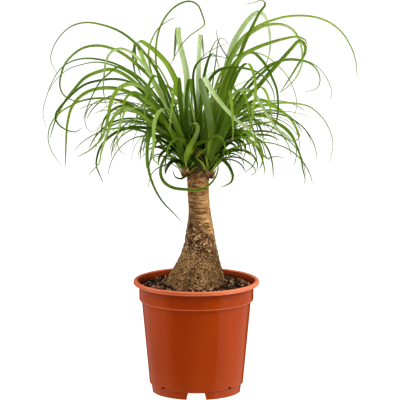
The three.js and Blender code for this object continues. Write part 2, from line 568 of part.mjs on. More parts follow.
// A three-sided blade along a route: two edges and the keel under them.
function blade(width, roll, route) {
  const curve = new THREE.CatmullRomCurve3(route, false, "centripetal");
  const last = THREE.MathUtils.clamp(Math.ceil(curve.getLength() / SEGMENT_LENGTH), 7, 18);
  const points = curve.getSpacedPoints(last);
  const reach = points[Math.round(last * 0.6)].clone().sub(points[0]);
  const side = new THREE.Vector3(-reach.y, reach.x, 0).normalize();
  const corners = [];
  points.forEach((point, i) => {
    const ahead = points[Math.min(i + 1, last)];
    const behind = points[Math.max(i - 1, 0)];
    const tangent = ahead.clone().sub(behind).normalize();
    side.addScaledVector(tangent, -side.dot(tangent)).normalize();
    const turn = radians(THREE.MathUtils.lerp(roll[0], roll[1], i / last));
    const across = side.clone().applyAxisAngle(tangent, turn);
    const up = tangent.clone().cross(across);
    const half = bladeWidth(width, i / last) / 2;
    const edge = point.clone().addScaledVector(up, BLADE_FOLD * half);
    const keel = point.clone().addScaledVector(up, -BLADE_THICKNESS);
    const left = edge.clone().addScaledVector(across, half);
    const right = edge.clone().addScaledVector(across, -half);
    corners.push(...left.toArray(), ...right.toArray(), ...keel.toArray());
  });
  const faces = [0, 2, 1, 3 * last, 3 * last + 1, 3 * last + 2];
  for (let i = 0; i < last; i += 1) {
    for (let corner = 0; corner < 3; corner += 1) {
      const a = 3 * i + corner;
      const b = 3 * i + ((corner + 1) % 3);
      faces.push(a, b, b + 3, a, b + 3, a + 3);
    }
  }
  const geometry = new THREE.BufferGeometry();
  geometry.setAttribute("position", new THREE.Float32BufferAttribute(corners, 3));
  geometry.setIndex(faces);
  return solid(geometry);
}

function makeHead(head) {
  const { foot, leaves, seed } = HEADS[head];
  const [radius, halfHeight] = CORE;
  const core = new THREE.SphereGeometry(radius, 12, 8).rotateX(Math.PI / 2);
  core.scale(1, 1, halfHeight / radius).translate(foot[0], foot[1], foot[2] + 10);
  let body = solid(core);
  for (const placed of LEAVES.filter((entry) => entry.head === head)) {
    const route = placedRoute(placed);
    body = body.add(blade(placed.width, placedRoll(placed.roll, route), route));
  }
  const random = seeded(seed);
  for (let index = 0; index < leaves; index += 1) {
    const { width, roll, route } = drawnLeaf(head, index, random);
    body = body.add(blade(width, roll, route));
  }
  return largestBody(body.subtract(makeTrunk(CLEARANCE)));
}

const palm = new THREE.Group();
palm.add(piece("pot", makePot(), 0xa84a22, 0.42));
palm.add(piece("soil", makeSoil(), 0x2b201a, 0.95));
palm.add(piece("trunk", makeTrunk(0), 0x9a7347, 0.85));
palm.add(piece("leaf_head_left", makeHead("left"), 0x5f8f22, 0.45));
palm.add(piece("leaf_head_right", makeHead("right"), 0x58881f, 0.45));
palm.add(piece("leaf_head_back", makeHead("back"), 0x4c7a1d, 0.45));

export default palm;
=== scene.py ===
"""A ponytail palm in a nursery pot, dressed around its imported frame.

The pot, the soil, the trunk and the three heads of leaves are rebuilt as fine meshes at the places
that the frame gives them, with procedural finishes, and set in a plain pale studio.
"""

import logging
import math
from collections.abc import Callable, Iterable, Mapping, Sequence
from dataclasses import dataclass, field
from enum import Enum
from typing import Any, ClassVar, NamedTuple, Union

import bpy
import numpy as np
from mathutils import Matrix, Vector, noise


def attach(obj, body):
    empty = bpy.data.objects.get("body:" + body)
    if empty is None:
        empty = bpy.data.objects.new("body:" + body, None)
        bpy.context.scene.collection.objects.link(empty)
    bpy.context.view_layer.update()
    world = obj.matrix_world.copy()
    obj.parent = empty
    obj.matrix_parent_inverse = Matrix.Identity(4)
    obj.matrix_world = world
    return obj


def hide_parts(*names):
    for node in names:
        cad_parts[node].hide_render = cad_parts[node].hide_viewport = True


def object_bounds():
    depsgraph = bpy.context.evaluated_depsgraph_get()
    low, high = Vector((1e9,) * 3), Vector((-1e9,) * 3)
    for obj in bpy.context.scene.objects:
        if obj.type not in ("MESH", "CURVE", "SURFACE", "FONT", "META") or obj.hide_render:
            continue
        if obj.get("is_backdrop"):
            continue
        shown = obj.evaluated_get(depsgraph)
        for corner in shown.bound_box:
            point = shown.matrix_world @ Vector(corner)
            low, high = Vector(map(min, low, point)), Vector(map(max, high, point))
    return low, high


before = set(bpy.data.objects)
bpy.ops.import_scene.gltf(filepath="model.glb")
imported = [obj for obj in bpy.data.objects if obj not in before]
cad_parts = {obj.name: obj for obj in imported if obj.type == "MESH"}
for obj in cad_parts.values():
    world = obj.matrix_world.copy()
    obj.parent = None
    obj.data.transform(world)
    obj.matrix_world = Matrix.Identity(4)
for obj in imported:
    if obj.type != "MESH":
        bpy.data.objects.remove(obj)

LOG = logging.getLogger("palm")
MM = 0.001  # metres in a millimetre
BODY = "root"
GOLDEN = 0.618034  # the step, modulo 1, that spreads a series evenly
CURVE_STEPS = 24  # steps between two points that a curve passes through

Colour = tuple[float, float, float]
Span = tuple[float, float]
Number = Union[float, np.ndarray]
Draw = Callable[[], float]


# ---------------------------------------------------------------- listed leaves


class Head(Enum):
    """The three heads of leaves on the trunk's top."""

    LEFT = "left"
    RIGHT = "right"
    BACK = "back"


class PlacedLeaf(NamedTuple):
    """A leaf whose route is listed.

    The route is given as points [x, z] of the upright plane through the pot's axis, in millimetres.
    Each point is then moved along its line of sight from EYE to the leaf's own depth.
    """

    head: Head
    width: float
    roll: Span
    depth: Span
    route: tuple[Span, ...]
    tone: float | None
    dry: bool


def leaf(
    head: str,
    width: float,
    roll: Sequence[float],
    depth: Sequence[float],
    route: Sequence[Sequence[float]],
    tone: float | None = None,
    dry: bool = False,
) -> PlacedLeaf:
    """Names one row of a leaf table.

    Args:
        head: The head that the leaf grows from.
        width: Its greatest width in millimetres.
        roll: The blade's roll in degrees at its foot and at its tip.
        depth: The leaf's y in millimetres at mid length and at its tip.
        route: Its points in the upright plane.
        tone: How pale it is, from 0 to 1, where that isn't left to a draw.
        dry: Whether it has dried.

    Returns:
        The leaf.
    """
    points = tuple(map(tuple, route))
    return PlacedLeaf(Head(head), width, tuple(roll), tuple(depth), points, tone, dry)


EYE = np.array((4.9, -4000.0, 986.6))  # where the camera stands, in millimetres

LEAVES = (
    leaf("left", 5, [0, 20], [20, 40],
         [[-22, 350], [-38, 405], [-60, 448], [-80, 472], [-100, 488], [-122, 497], [-146, 501], [-166, 496],
          [-181, 483], [-191, 466], [-194, 450], [-186, 434]], 0.35),
    leaf("left", 7, [0, 30], [-10, -20],
         [[-24, 350], [-38, 390], [-52, 415], [-65, 431], [-80, 445], [-98, 459], [-115, 467], [-132, 470],
          [-150, 467], [-165, 457], [-175, 445], [-180, 431], [-182, 418], [-178, 405], [-166, 397],
          [-153, 396]], 0.42),
    leaf("left", 6, [0, 60], [-30, -45],
         [[-20, 345], [-34, 385], [-50, 412], [-64, 435], [-78, 453], [-90, 463], [-103, 466], [-114, 461],
          [-120, 450], [-123, 430], [-124, 410], [-120, 388]], 0.9),
    leaf("left", 4, [0, 10], [40, 75],
         [[-30, 365], [-50, 395], [-75, 425], [-100, 442], [-122, 450], [-146, 453], [-166, 449], [-181, 439],
          [-192, 422], [-200, 402], [-205, 381], [-201, 360]], 0.3),
    leaf("left", 4, [0, 0], [50, 80],
         [[-35, 360], [-60, 400], [-85, 430], [-110, 443], [-132, 448], [-152, 445], [-168, 440], [-182, 430],
          [-194, 415], [-200, 403]], 0.35),
    leaf("left", 8, [0, 35], [-20, -30],
         [[-30, 350], [-55, 390], [-80, 418], [-98, 432], [-114, 438], [-130, 435], [-148, 427], [-163, 411],
          [-174, 397], [-184, 380], [-191, 362], [-196, 345]], 0.5),
    leaf("left", 6, [0, 20], [-40, -70],
         [[-30, 345], [-55, 385], [-75, 410], [-92, 422], [-110, 425], [-130, 423], [-148, 418], [-162, 408],
          [-176, 394], [-187, 380], [-188, 371], [-182, 362], [-172, 356], [-162, 354], [-153, 359]], 0.15),
    leaf("left", 7, [0, 60], [-50, -75],
         [[-28, 340], [-55, 378], [-82, 403], [-105, 412], [-125, 413], [-143, 409], [-157, 400], [-167, 386],
          [-172, 368], [-174, 348], [-175, 325], [-176, 306]], 0.5),
    leaf("left", 5, [0, 10], [-10, 10],
         [[-30, 335], [-60, 368], [-88, 390], [-112, 398], [-135, 399], [-152, 396], [-168, 389], [-182, 380],
          [-193, 367], [-198, 352], [-197, 336], [-190, 321], [-181, 309]]),
    leaf("left", 4, [0, 0], [35, 45],
         [[-24, 332], [-50, 365], [-78, 388], [-100, 397], [-122, 398], [-136, 393], [-145, 384], [-149, 371],
          [-147, 360], [-141, 354], [-135, 355], [-132, 360]]),
    leaf("left", 4, [0, 50], [-60, -90],
         [[-26, 355], [-48, 395], [-72, 424], [-92, 438], [-106, 441], [-115, 434], [-127, 423], [-137, 407],
          [-144, 391], [-151, 372]]),
    leaf("left", 6, [0, 50], [-50, -60],
         [[-22, 335], [-38, 349], [-52, 357], [-66, 359], [-82, 360], [-96, 358], [-108, 353], [-119, 345],
          [-128, 334], [-133, 320], [-134, 308], [-130, 297], [-125, 285]]),
    leaf("left", 8, [10, 60], [-55, -85],
         [[-20, 345], [-34, 375], [-50, 396], [-64, 409], [-78, 417], [-92, 418], [-103, 413], [-110, 404],
          [-115, 391], [-118, 374], [-122, 358], [-126, 346], [-134, 337], [-146, 327], [-160, 320]]),
    leaf("left", 7, [0, 60], [-30, -40],
         [[-24, 340], [-42, 357], [-60, 371], [-76, 382], [-90, 389], [-104, 388], [-115, 381], [-123, 371],
          [-127, 357], [-127, 344]]),
    leaf("left", 7, [0, 70], [-75, -100],
         [[-22, 335], [-42, 352], [-62, 367], [-80, 380], [-94, 386], [-106, 380], [-114, 367], [-119, 352],
          [-124, 338], [-128, 324], [-130, 312], [-137, 304], [-145, 295]]),
    leaf("left", 4, [0, 30], [-85, -115],
         [[-26, 330], [-50, 352], [-72, 373], [-86, 384], [-95, 382], [-100, 368], [-104, 356], [-106, 343],
          [-104, 332], [-99, 325], [-94, 323]]),
    leaf("left", 9.5, [-30, 0], [-95, -150],
         [[-20, 342], [-27, 362], [-35, 381], [-43, 385], [-50, 380], [-55, 369], [-57, 355], [-57, 340],
          [-58, 325], [-57, 316], [-49, 309]], 0.75),
    leaf("left", 6, [0, 40], [-80, -110],
         [[-26, 335], [-42, 350], [-55, 357], [-62, 352], [-65, 340], [-66, 325], [-65, 308], [-61, 290],
          [-53, 271], [-43, 256], [-33, 246], [-20, 232]], 0.22),
    leaf("left", 9.5, [0, 10], [20, 140],
         [[-16, 350], [-19, 385], [-25, 415], [-37, 442], [-50, 458], [-64, 470], [-75, 476], [-82, 468],
          [-84, 450], [-80, 425]], 0.6),
    leaf("left", 7, [0, 20], [-10, 150],
         [[-22, 350], [-40, 390], [-54, 415], [-64, 435], [-72, 455], [-79, 473], [-82, 468], [-80, 450],
          [-74, 430]], 0.8),
    leaf("left", 7, [20, 0], [20, 5],
         [[-20, 350], [-36, 385], [-48, 415], [-54, 445], [-54, 470], [-49, 494], [-39, 512], [-25, 525],
          [-9, 530], [2, 525], [8, 512], [11, 498], [2, 491], [-10, 482], [-20, 471], [-29, 455],
          [-36, 443]], 0.5),
    leaf("left", 6, [30, 60], [-35, -50],
         [[-20, 355], [-30, 395], [-41, 424], [-50, 440], [-60, 453], [-74, 466]]),
    leaf("left", 4, [0, 20], [60, 80],
         [[-30, 370], [-50, 405], [-59, 430], [-63, 450], [-63, 466], [-58, 481], [-49, 495], [-38, 503],
          [-28, 508]]),
    leaf("left", 8.5, [0, 50], [-40, -60],
         [[-22, 306], [-33, 318], [-44, 333], [-55, 346], [-62, 350], [-65, 338], [-67, 320], [-67, 305]]),
    leaf("left", 6, [0, 30], [-42, -60],
         [[-8, 335], [-12, 342], [-22, 345], [-31, 342], [-37, 334], [-39, 325], [-36, 321], [-30, 320]]),
    leaf("left", 6, [0, 80], [-48, -40],
         [[-24, 326], [-34, 326], [-42, 318], [-47, 306], [-47, 294], [-41, 284], [-30, 278], [-14, 276],
          [2, 275], [13, 279], [22, 287], [28, 298], [29, 309], [25, 317]], 0.4),
    leaf("left", 12, [0, 10], [-55, -80],
         [[-8, 332], [-3, 342], [1, 352], [2, 361], [-2, 366], [-8, 363]], 0.8),
    leaf("left", 6, [80, 30], [-46, -60],
         [[-8, 330], [0, 337], [10, 341], [19, 345], [27, 349], [34, 346], [38, 338], [38, 330],
          [35, 323]], 0.45),
    leaf("left", 4, [0, 30], [20, 30],
         [[-24, 316], [-34, 311], [-44, 308], [-53, 304], [-60, 297], [-63, 288], [-65, 277]]),
    leaf("left", 4, [0, 30], [30, 40],
         [[-25, 325], [-40, 329], [-52, 333], [-62, 332], [-68, 325], [-74, 319]]),
    leaf("left", 10, [60, 60], [-30, -34],
         [[-6, 320], [2, 311], [9, 301], [13, 296]], 0.1),
    leaf("left", 9.5, [0, 10], [20, 172],
         [[-14, 350], [-15, 385], [-12, 415], [-14, 438], [-19, 460], [-23, 480], [-24, 494], [-26, 488],
          [-28, 470], [-30, 450]], 0.95),
    leaf("left", 8, [10, 20], [-75, -165],
         [[-14, 340], [-19, 370], [-22, 400], [-23, 420], [-25, 428], [-28, 420], [-31, 400], [-34, 375],
          [-36, 355]]),
    leaf("left", 7, [10, 20], [-70, -150],
         [[-12, 345], [-13, 380], [-12, 410], [-9, 425], [-7, 420], [-6, 400], [-5, 378]]),
    leaf("left", 8, [0, 20], [-80, -160],
         [[-22, 345], [-36, 385], [-46, 415], [-52, 428], [-58, 428], [-64, 415], [-68, 392], [-70, 370]]),
    leaf("left", 8, [80, 45], [-95, -160],
         [[-26, 340], [-50, 378], [-70, 400], [-84, 407], [-94, 400], [-100, 382], [-104, 362]], 0.4),
    leaf("right", 10.5, [10, 20], [-75, -130],
         [[22, 340], [20, 365], [15, 388], [10, 408], [7, 423], [10, 427], [19, 412], [30, 396], [42, 382],
          [55, 369], [68, 359], [82, 349], [98, 342]], 0.9),
    leaf("right", 10.5, [20, 10], [40, 30],
         [[24, 350], [32, 400], [40, 440], [49, 472], [60, 492], [71, 507], [82, 515], [91, 509], [96, 493],
          [98, 476], [97, 460], [93, 446], [87, 438]], 0.95),
    leaf("right", 9, [30, 45], [-20, -45],
         [[28, 360], [42, 410], [56, 450], [64, 472], [74, 494], [84, 514], [92, 526], [87, 531], [78, 528],
          [64, 525]], 0.45),
    leaf("right", 5, [0, 30], [30, 0],
         [[22, 370], [36, 430], [56, 474], [78, 494], [98, 503], [120, 509], [145, 510], [166, 506],
          [182, 498], [195, 486], [204, 472], [210, 458], [213, 445], [214, 431]], 0.6),
    leaf("right", 6, [10, 40], [0, -30],
         [[26, 375], [42, 440], [60, 474], [76, 489], [92, 497], [108, 499], [121, 496], [131, 488],
          [138, 474], [141, 457], [139, 440], [131, 425], [121, 414], [111, 407]], 0.75),
    leaf("right", 10.5, [75, 45], [-50, -80],
         [[24, 350], [34, 400], [47, 438], [60, 455], [76, 465], [96, 473], [116, 479], [134, 482],
          [143, 479], [147, 475], [144, 470]], 0.55),
    leaf("right", 8.5, [10, 60], [-40, -75],
         [[30, 345], [48, 375], [66, 398], [82, 414], [96, 431], [111, 448], [125, 464], [138, 477],
          [145, 470], [144, 458], [137, 447], [128, 432], [119, 418], [112, 407]], 0.5),
    leaf("right", 6, [0, 20], [20, 35],
         [[30, 345], [50, 385], [70, 414], [88, 433], [104, 446], [120, 451], [140, 450], [152, 446],
          [161, 437], [165, 424], [162, 414], [155, 410], [145, 408]]),
    leaf("right", 4, [0, 0], [50, 75],
         [[30, 355], [60, 410], [90, 440], [120, 452], [145, 450], [160, 443], [170, 433], [177, 420],
          [181, 407], [178, 397]]),
    leaf("right", 6, [0, 50], [-30, -65],
         [[24, 345], [38, 400], [52, 438], [64, 457], [75, 461], [85, 453], [94, 441], [101, 427], [107, 412],
          [109, 396], [109, 380], [106, 365], [100, 356], [90, 349]]),
    leaf("right", 4, [0, 0], [60, 90],
         [[20, 390], [34, 435], [50, 455], [66, 461], [82, 460], [96, 454], [109, 443], [120, 431],
          [128, 417], [133, 402], [134, 388], [130, 374]]),
    leaf("right", 7, [-30, -70], [-45, -75],
         [[14, 395], [17, 422], [30, 437], [46, 441], [62, 440], [77, 436], [89, 429], [98, 418], [103, 407],
          [104, 397], [101, 390]], 0.5),
    leaf("right", 7, [80, 20], [-70, -120],
         [[24, 350], [34, 380], [48, 402], [62, 411], [75, 407], [84, 396], [92, 382], [100, 369], [109, 358],
          [117, 350], [125, 343], [131, 341], [137, 345]], 0.85),
    leaf("right", 7, [0, 40], [-20, -30],
         [[30, 345], [48, 372], [66, 390], [84, 397], [98, 393], [110, 385], [121, 376], [130, 366],
          [136, 354], [138, 347], [133, 342], [126, 342]]),
    leaf("right", 6, [0, 50], [-60, -80],
         [[30, 340], [50, 362], [72, 376], [92, 375], [108, 366], [120, 357], [129, 346], [135, 333],
          [140, 319], [143, 302], [146, 289], [144, 283]]),
    leaf("right", 4, [0, 20], [25, 35],
         [[28, 335], [48, 352], [70, 362], [90, 366], [106, 367], [118, 361], [127, 352], [133, 340],
          [134, 326], [133, 315], [130, 308], [127, 311]]),
    leaf("right", 5, [0, 10], [40, 60],
         [[26, 350], [50, 372], [74, 385], [95, 391], [115, 393], [135, 392], [151, 388], [163, 379],
          [173, 367], [180, 352], [183, 337], [181, 323], [178, 312]]),
    leaf("right", 4, [0, 0], [70, 100],
         [[28, 350], [56, 376], [86, 389], [108, 386], [125, 374], [138, 365], [147, 355], [152, 345],
          [154, 336]]),
    leaf("right", 7, [0, 30], [-35, -60],
         [[30, 337], [48, 347], [66, 350], [84, 350], [98, 349], [111, 343]]),
    leaf("right", 7, [0, 30], [-70, -110],
         [[32, 334], [48, 343], [62, 346], [74, 341], [82, 333], [88, 325], [93, 319], [99, 316]]),
    leaf("right", 7.5, [0, 60], [-55, -80],
         [[30, 340], [50, 352], [68, 354], [80, 344], [87, 331], [89, 318], [87, 308], [83, 303]]),
    leaf("right", 5, [0, 30], [-40, -70],
         [[28, 322], [42, 326], [56, 329], [69, 327], [78, 319], [82, 310], [81, 302]]),
    leaf("right", 6, [0, 60], [-55, -90],
         [[32, 332], [46, 341], [57, 343], [65, 336], [66, 327], [63, 319], [59, 314]]),
    leaf("right", 4, [0, 0], [20, 30],
         [[30, 345], [55, 355], [75, 350], [88, 338], [92, 325], [95, 318], [105, 321], [116, 319]]),
    leaf("right", 7, [-45, 0], [-110, -172],
         [[30, 360], [44, 405], [58, 438], [69, 446], [76, 432], [79, 412], [77, 392], [74, 370], [71, 350],
          [71, 336], [74, 323]], 0.55),
    leaf("right", 6, [0, 40], [-30, -50],
         [[26, 318], [34, 317], [41, 311], [46, 303], [49, 294], [47, 286], [41, 282], [33, 279]]),
    leaf("right", 4, [0, 30], [-45, -60],
         [[32, 326], [39, 331], [43, 323], [45, 314], [46, 309]]),
    leaf("right", 7, [10, 40], [10, 20],
         [[20, 385], [24, 410], [34, 420], [46, 417], [56, 405], [66, 392], [76, 380]]),
    leaf("right", 7.5, [0, 30], [-75, -168],
         [[30, 338], [37, 372], [41, 400], [43, 410], [46, 404], [48, 385], [49, 362], [49, 342]]),
    leaf("right", 8, [-15, -30], [-90, -150],
         [[30, 340], [44, 378], [54, 402], [60, 408], [66, 400], [70, 380], [72, 360]], 0.5),
    leaf("right", 8, [-50, -10], [-95, -160],
         [[34, 345], [56, 385], [74, 408], [86, 414], [94, 405], [99, 385], [102, 365]], 0.6),
    leaf("back", 8, [0, 0], [50, 172],
         [[3, 370], [3, 410], [3, 440], [4, 462], [5, 482], [6, 484], [8, 474], [10, 455]], 1.0),
    leaf("back", 7, [40, 50], [5, -10],
         [[4, 370], [6, 405], [10, 430], [15, 449], [20, 465], [25, 475], [29, 479]], 0.6),
    leaf("back", 5, [10, 20], [-15, -25],
         [[1, 370], [-3, 405], [-4, 432], [0, 445], [8, 452], [18, 456], [30, 456], [41, 453]]),
    leaf("back", 4, [0, 10], [20, 30],
         [[-2, 390], [-4, 430], [4, 450], [14, 460], [24, 466], [33, 470], [40, 473]]),
    leaf("back", 7, [-25, -30], [-5, -30],
         [[6, 380], [10, 425], [14, 445], [19, 458], [24, 459], [28, 449], [31, 438]]),
)


# Slight leaves, curls and dry ones between the others.
SLIGHT_LEAVES = (
    leaf("left", 3, [0, 40], [-18, -24],
         [[-13, 296], [-18, 291], [-25, 291], [-30, 295], [-31, 302]]),
    leaf("left", 3, [0, 30], [-20, -30],
         [[-24, 314], [-40, 318], [-52, 324], [-60, 318], [-63, 309]]),
    leaf("left", 3.5, [30, 60], [-30, -20],
         [[-14, 330], [-8, 350], [0, 370], [7, 388], [16, 402], [26, 414]]),
    leaf("right", 3, [0, 40], [10, 20],
         [[26, 380], [40, 425], [46, 443], [41, 455], [33, 468], [28, 480], [27, 491]], 0.2),
    leaf("right", 2.5, [0, 20], [20, 30],
         [[20, 400], [26, 450], [31, 480], [38, 478], [43, 472]], 0.3),
    leaf("right", 4, [20, 60], [-40, -50],
         [[22, 312], [30, 318], [37, 318], [42, 325], [45, 332], [50, 326]]),
    leaf("right", 3, [0, 30], [-30, -45],
         [[30, 320], [50, 330], [70, 326], [79, 316], [74, 306], [66, 300]]),
    leaf("right", 3, [0, 30], [-20, -35],
         [[28, 314], [50, 320], [68, 314], [80, 300], [73, 295]]),
    leaf("right", 3.5, [10, 40], [-30, -60],
         [[18, 370], [22, 392], [38, 394], [56, 391]], 0.5, True),
)


# ---------------------------------------------------------------- plain geometry


def seeded(seed: int) -> Draw:
    """Makes a source of repeatable draws between 0 and 1.

    Args:
        seed: Where the draws start.

    Returns:
        A function that gives the next draw.
    """
    word = 0xFFFFFFFF
    state = seed

    def draw() -> float:
        """Gives the next draw."""
        nonlocal state
        state = (state + 0x6D2B79F5) & word
        mixed = ((state ^ (state >> 15)) * (1 | state)) & word
        mixed = ((mixed + (mixed ^ (mixed >> 7)) * (61 | mixed)) & word) ^ mixed
        return (mixed ^ (mixed >> 14)) / (word + 1)

    return draw


def between(draw: Draw, low: float, high: float) -> float:
    """Draws a number from low to high."""
    return low + (high - low) * draw()


def smoothstep(value: Number, low: float, high: float) -> Number:
    """Eases from 0 at low to 1 at high."""
    share = np.clip((value - low) / (high - low), 0.0, 1.0)
    return share * share * (3.0 - 2.0 * share)


def lerp(low: float, high: float, share: Number) -> Number:
    """Goes straight from low to high."""
    return low + (high - low) * share


def spaced_curve(points: np.ndarray, count: int) -> np.ndarray:
    """Runs a centripetal Catmull-Rom curve through points.

    Args:
        points: The points that the curve passes through.
        count: How many points to return.

    Returns:
        Points at even steps along the curve, the first and last of them at its ends.
    """
    padded = np.vstack((2 * points[0] - points[1], points, 2 * points[-1] - points[-2]))
    t = np.linspace(0.0, 1.0, CURVE_STEPS + 1)[:-1, None]
    pieces = []
    for p0, p1, p2, p3 in zip(padded, padded[1:], padded[2:], padded[3:]):
        gaps = [max(np.linalg.norm(b - a) ** 0.5, 1e-6) for a, b in ((p0, p1), (p1, p2), (p2, p3))]
        out = (p1 - p0) / gaps[0] - (p2 - p0) / (gaps[0] + gaps[1]) + (p2 - p1) / gaps[1]
        into = (p2 - p1) / gaps[1] - (p3 - p1) / (gaps[1] + gaps[2]) + (p3 - p2) / gaps[2]
        out, into = out * gaps[1], into * gaps[1]
        cubic = 2 * p1 - 2 * p2 + out + into
        square = -3 * p1 + 3 * p2 - 2 * out - into
        pieces.append(p1 + out * t + square * t**2 + cubic * t**3)
    dense = np.vstack((*pieces, points[-1:]))
    lengths = np.concatenate(([0.0], np.cumsum(np.linalg.norm(np.diff(dense, axis=0), axis=1))))
    at = np.linspace(0.0, lengths[-1], count)
    return np.stack([np.interp(at, lengths, column) for column in dense.T], axis=1)


def curve_length(points: np.ndarray) -> float:
    """Measures a chain of points."""
    return float(np.linalg.norm(np.diff(points, axis=0), axis=1).sum())


def turned_about(vector: np.ndarray, axis: np.ndarray, angle: float) -> np.ndarray:
    """Turns a vector about a unit axis that it is square to."""
    return vector * math.cos(angle) + np.cross(axis, vector) * math.sin(angle)


@dataclass
class MeshParts:
    """Vertices in millimetres with the faces and the point attributes that go with them."""

    vertices: list[np.ndarray] = field(default_factory=list)
    faces: list[list[int]] = field(default_factory=list)
    attributes: dict[str, list[np.ndarray]] = field(default_factory=dict)
    layout: list[np.ndarray] = field(default_factory=list)
    total: int = 0

    def add(
        self,
        vertices: np.ndarray,
        faces: Iterable[Sequence[int]],
        layout: np.ndarray | None = None,
        **attributes: np.ndarray,
    ) -> None:
        """Adds one closed body.

        Args:
            vertices: Its vertices.
            faces: Its faces, as indices into its own vertices.
            layout: The place of each face corner in the unit square, if the piece is laid out.
            attributes: Named vectors, one for each vertex.
        """
        self.vertices.append(vertices)
        self.faces.extend([index + self.total for index in face] for face in faces)
        for name, values in attributes.items():
            self.attributes.setdefault(name, []).append(values)
        if layout is not None:
            self.layout.append(layout)
        self.total += len(vertices)

    def make(self, name: str, material: bpy.types.Material, sharp: float = 40.0) -> bpy.types.Object:
        """Builds the object.

        Args:
            name: Its name.
            material: Its finish.
            sharp: The angle in degrees over which an edge stays sharp.

        Returns:
            The object, linked to the scene.
        """
        mesh = bpy.data.meshes.new(name)
        mesh.from_pydata((np.vstack(self.vertices) * MM).tolist(), [], self.faces)
        for attribute, values in self.attributes.items():
            made = mesh.attributes.new(attribute, "FLOAT_VECTOR", "POINT")
            made.data.foreach_set("vector", np.vstack(values).astype(np.float32).ravel())
        if self.layout:
            places = mesh.uv_layers.new(name="OFBake", do_init=False)
            places.uv.foreach_set("vector", np.vstack(self.layout).astype(np.float32).ravel())
        return dressed(name, mesh, material, sharp)


def dressed(
    name: str, mesh: bpy.types.Mesh, material: bpy.types.Material, sharp: float
) -> bpy.types.Object:
    """Makes an object of a mesh, smooth but for its sharp edges, and gives it a finish.

    Args:
        name: The object's name.
        mesh: Its mesh.
        material: Its finish.
        sharp: The angle in degrees over which an edge stays sharp.

    Returns:
        The object, linked to the scene.
    """
    mesh.shade_smooth()
    mesh.set_sharp_from_angle(angle=math.radians(sharp))
    mesh.materials.append(material)
    made = bpy.data.objects.new(name, mesh)
    bpy.context.scene.collection.objects.link(made)
    return made


def revolved(outline: np.ndarray, segments: int) -> tuple[np.ndarray, list[list[int]]]:
    """Turns an outline of [radius, z] about Z.

    Args:
        outline: The outline's points, from the first on the axis round to the last on it.
        segments: How many steps go round.

    Returns:
        The vertices, ring by ring and then the two ends, and the faces.
    """
    rings = outline[1:-1]
    angles = np.arange(segments) * (2 * math.pi / segments)
    radius, height = rings[:, 0, None], rings[:, 1, None]
    flat = np.zeros_like(angles)
    shape = np.stack((radius * np.sin(angles), -radius * np.cos(angles), height + flat), axis=2)
    ends = np.array(((0.0, 0.0, outline[0][1]), (0.0, 0.0, outline[-1][1])))
    rim = (len(rings) - 1) * segments
    foot, top = rim + segments, rim + segments + 1
    steps = [(step, (step + 1) % segments) for step in range(segments)]
    faces = []
    for ring in range(0, rim, segments):
        above = ring + segments
        faces += [[ring + step, ring + after, above + after, above + step] for step, after in steps]
    for step, after in steps:
        faces.append([foot, after, step])
        faces.append([top, rim + step, rim + after])
    return np.vstack((shape.reshape(-1, 3), ends)), faces


def rounded_outline(corners: Sequence[tuple[float, float, float]], steps: int = 5) -> np.ndarray:
    """Rounds the corners of an open outline, all but the first and the last.

    Args:
        corners: Each corner's radius from Z, its height and how far its rounding reaches.
        steps: How many steps each rounding takes.

    Returns:
        The outline's points as [radius, z].
    """
    points = [np.array(corners[0][:2])]
    for before, corner, after in zip(corners, corners[1:], corners[2:]):
        middle, reach = np.array(corner[:2]), corner[2]
        start = middle + (np.array(before[:2]) - middle) * reach / math.dist(before[:2], middle)
        end = middle + (np.array(after[:2]) - middle) * reach / math.dist(after[:2], middle)
        for t in np.linspace(0.0, 1.0, steps):
            points.append(start * (1 - t) ** 2 + middle * 2 * t * (1 - t) + end * t**2)
    points.append(np.array(corners[-1][:2]))
    return np.array(points)


# ---------------------------------------------------------------- shader maths


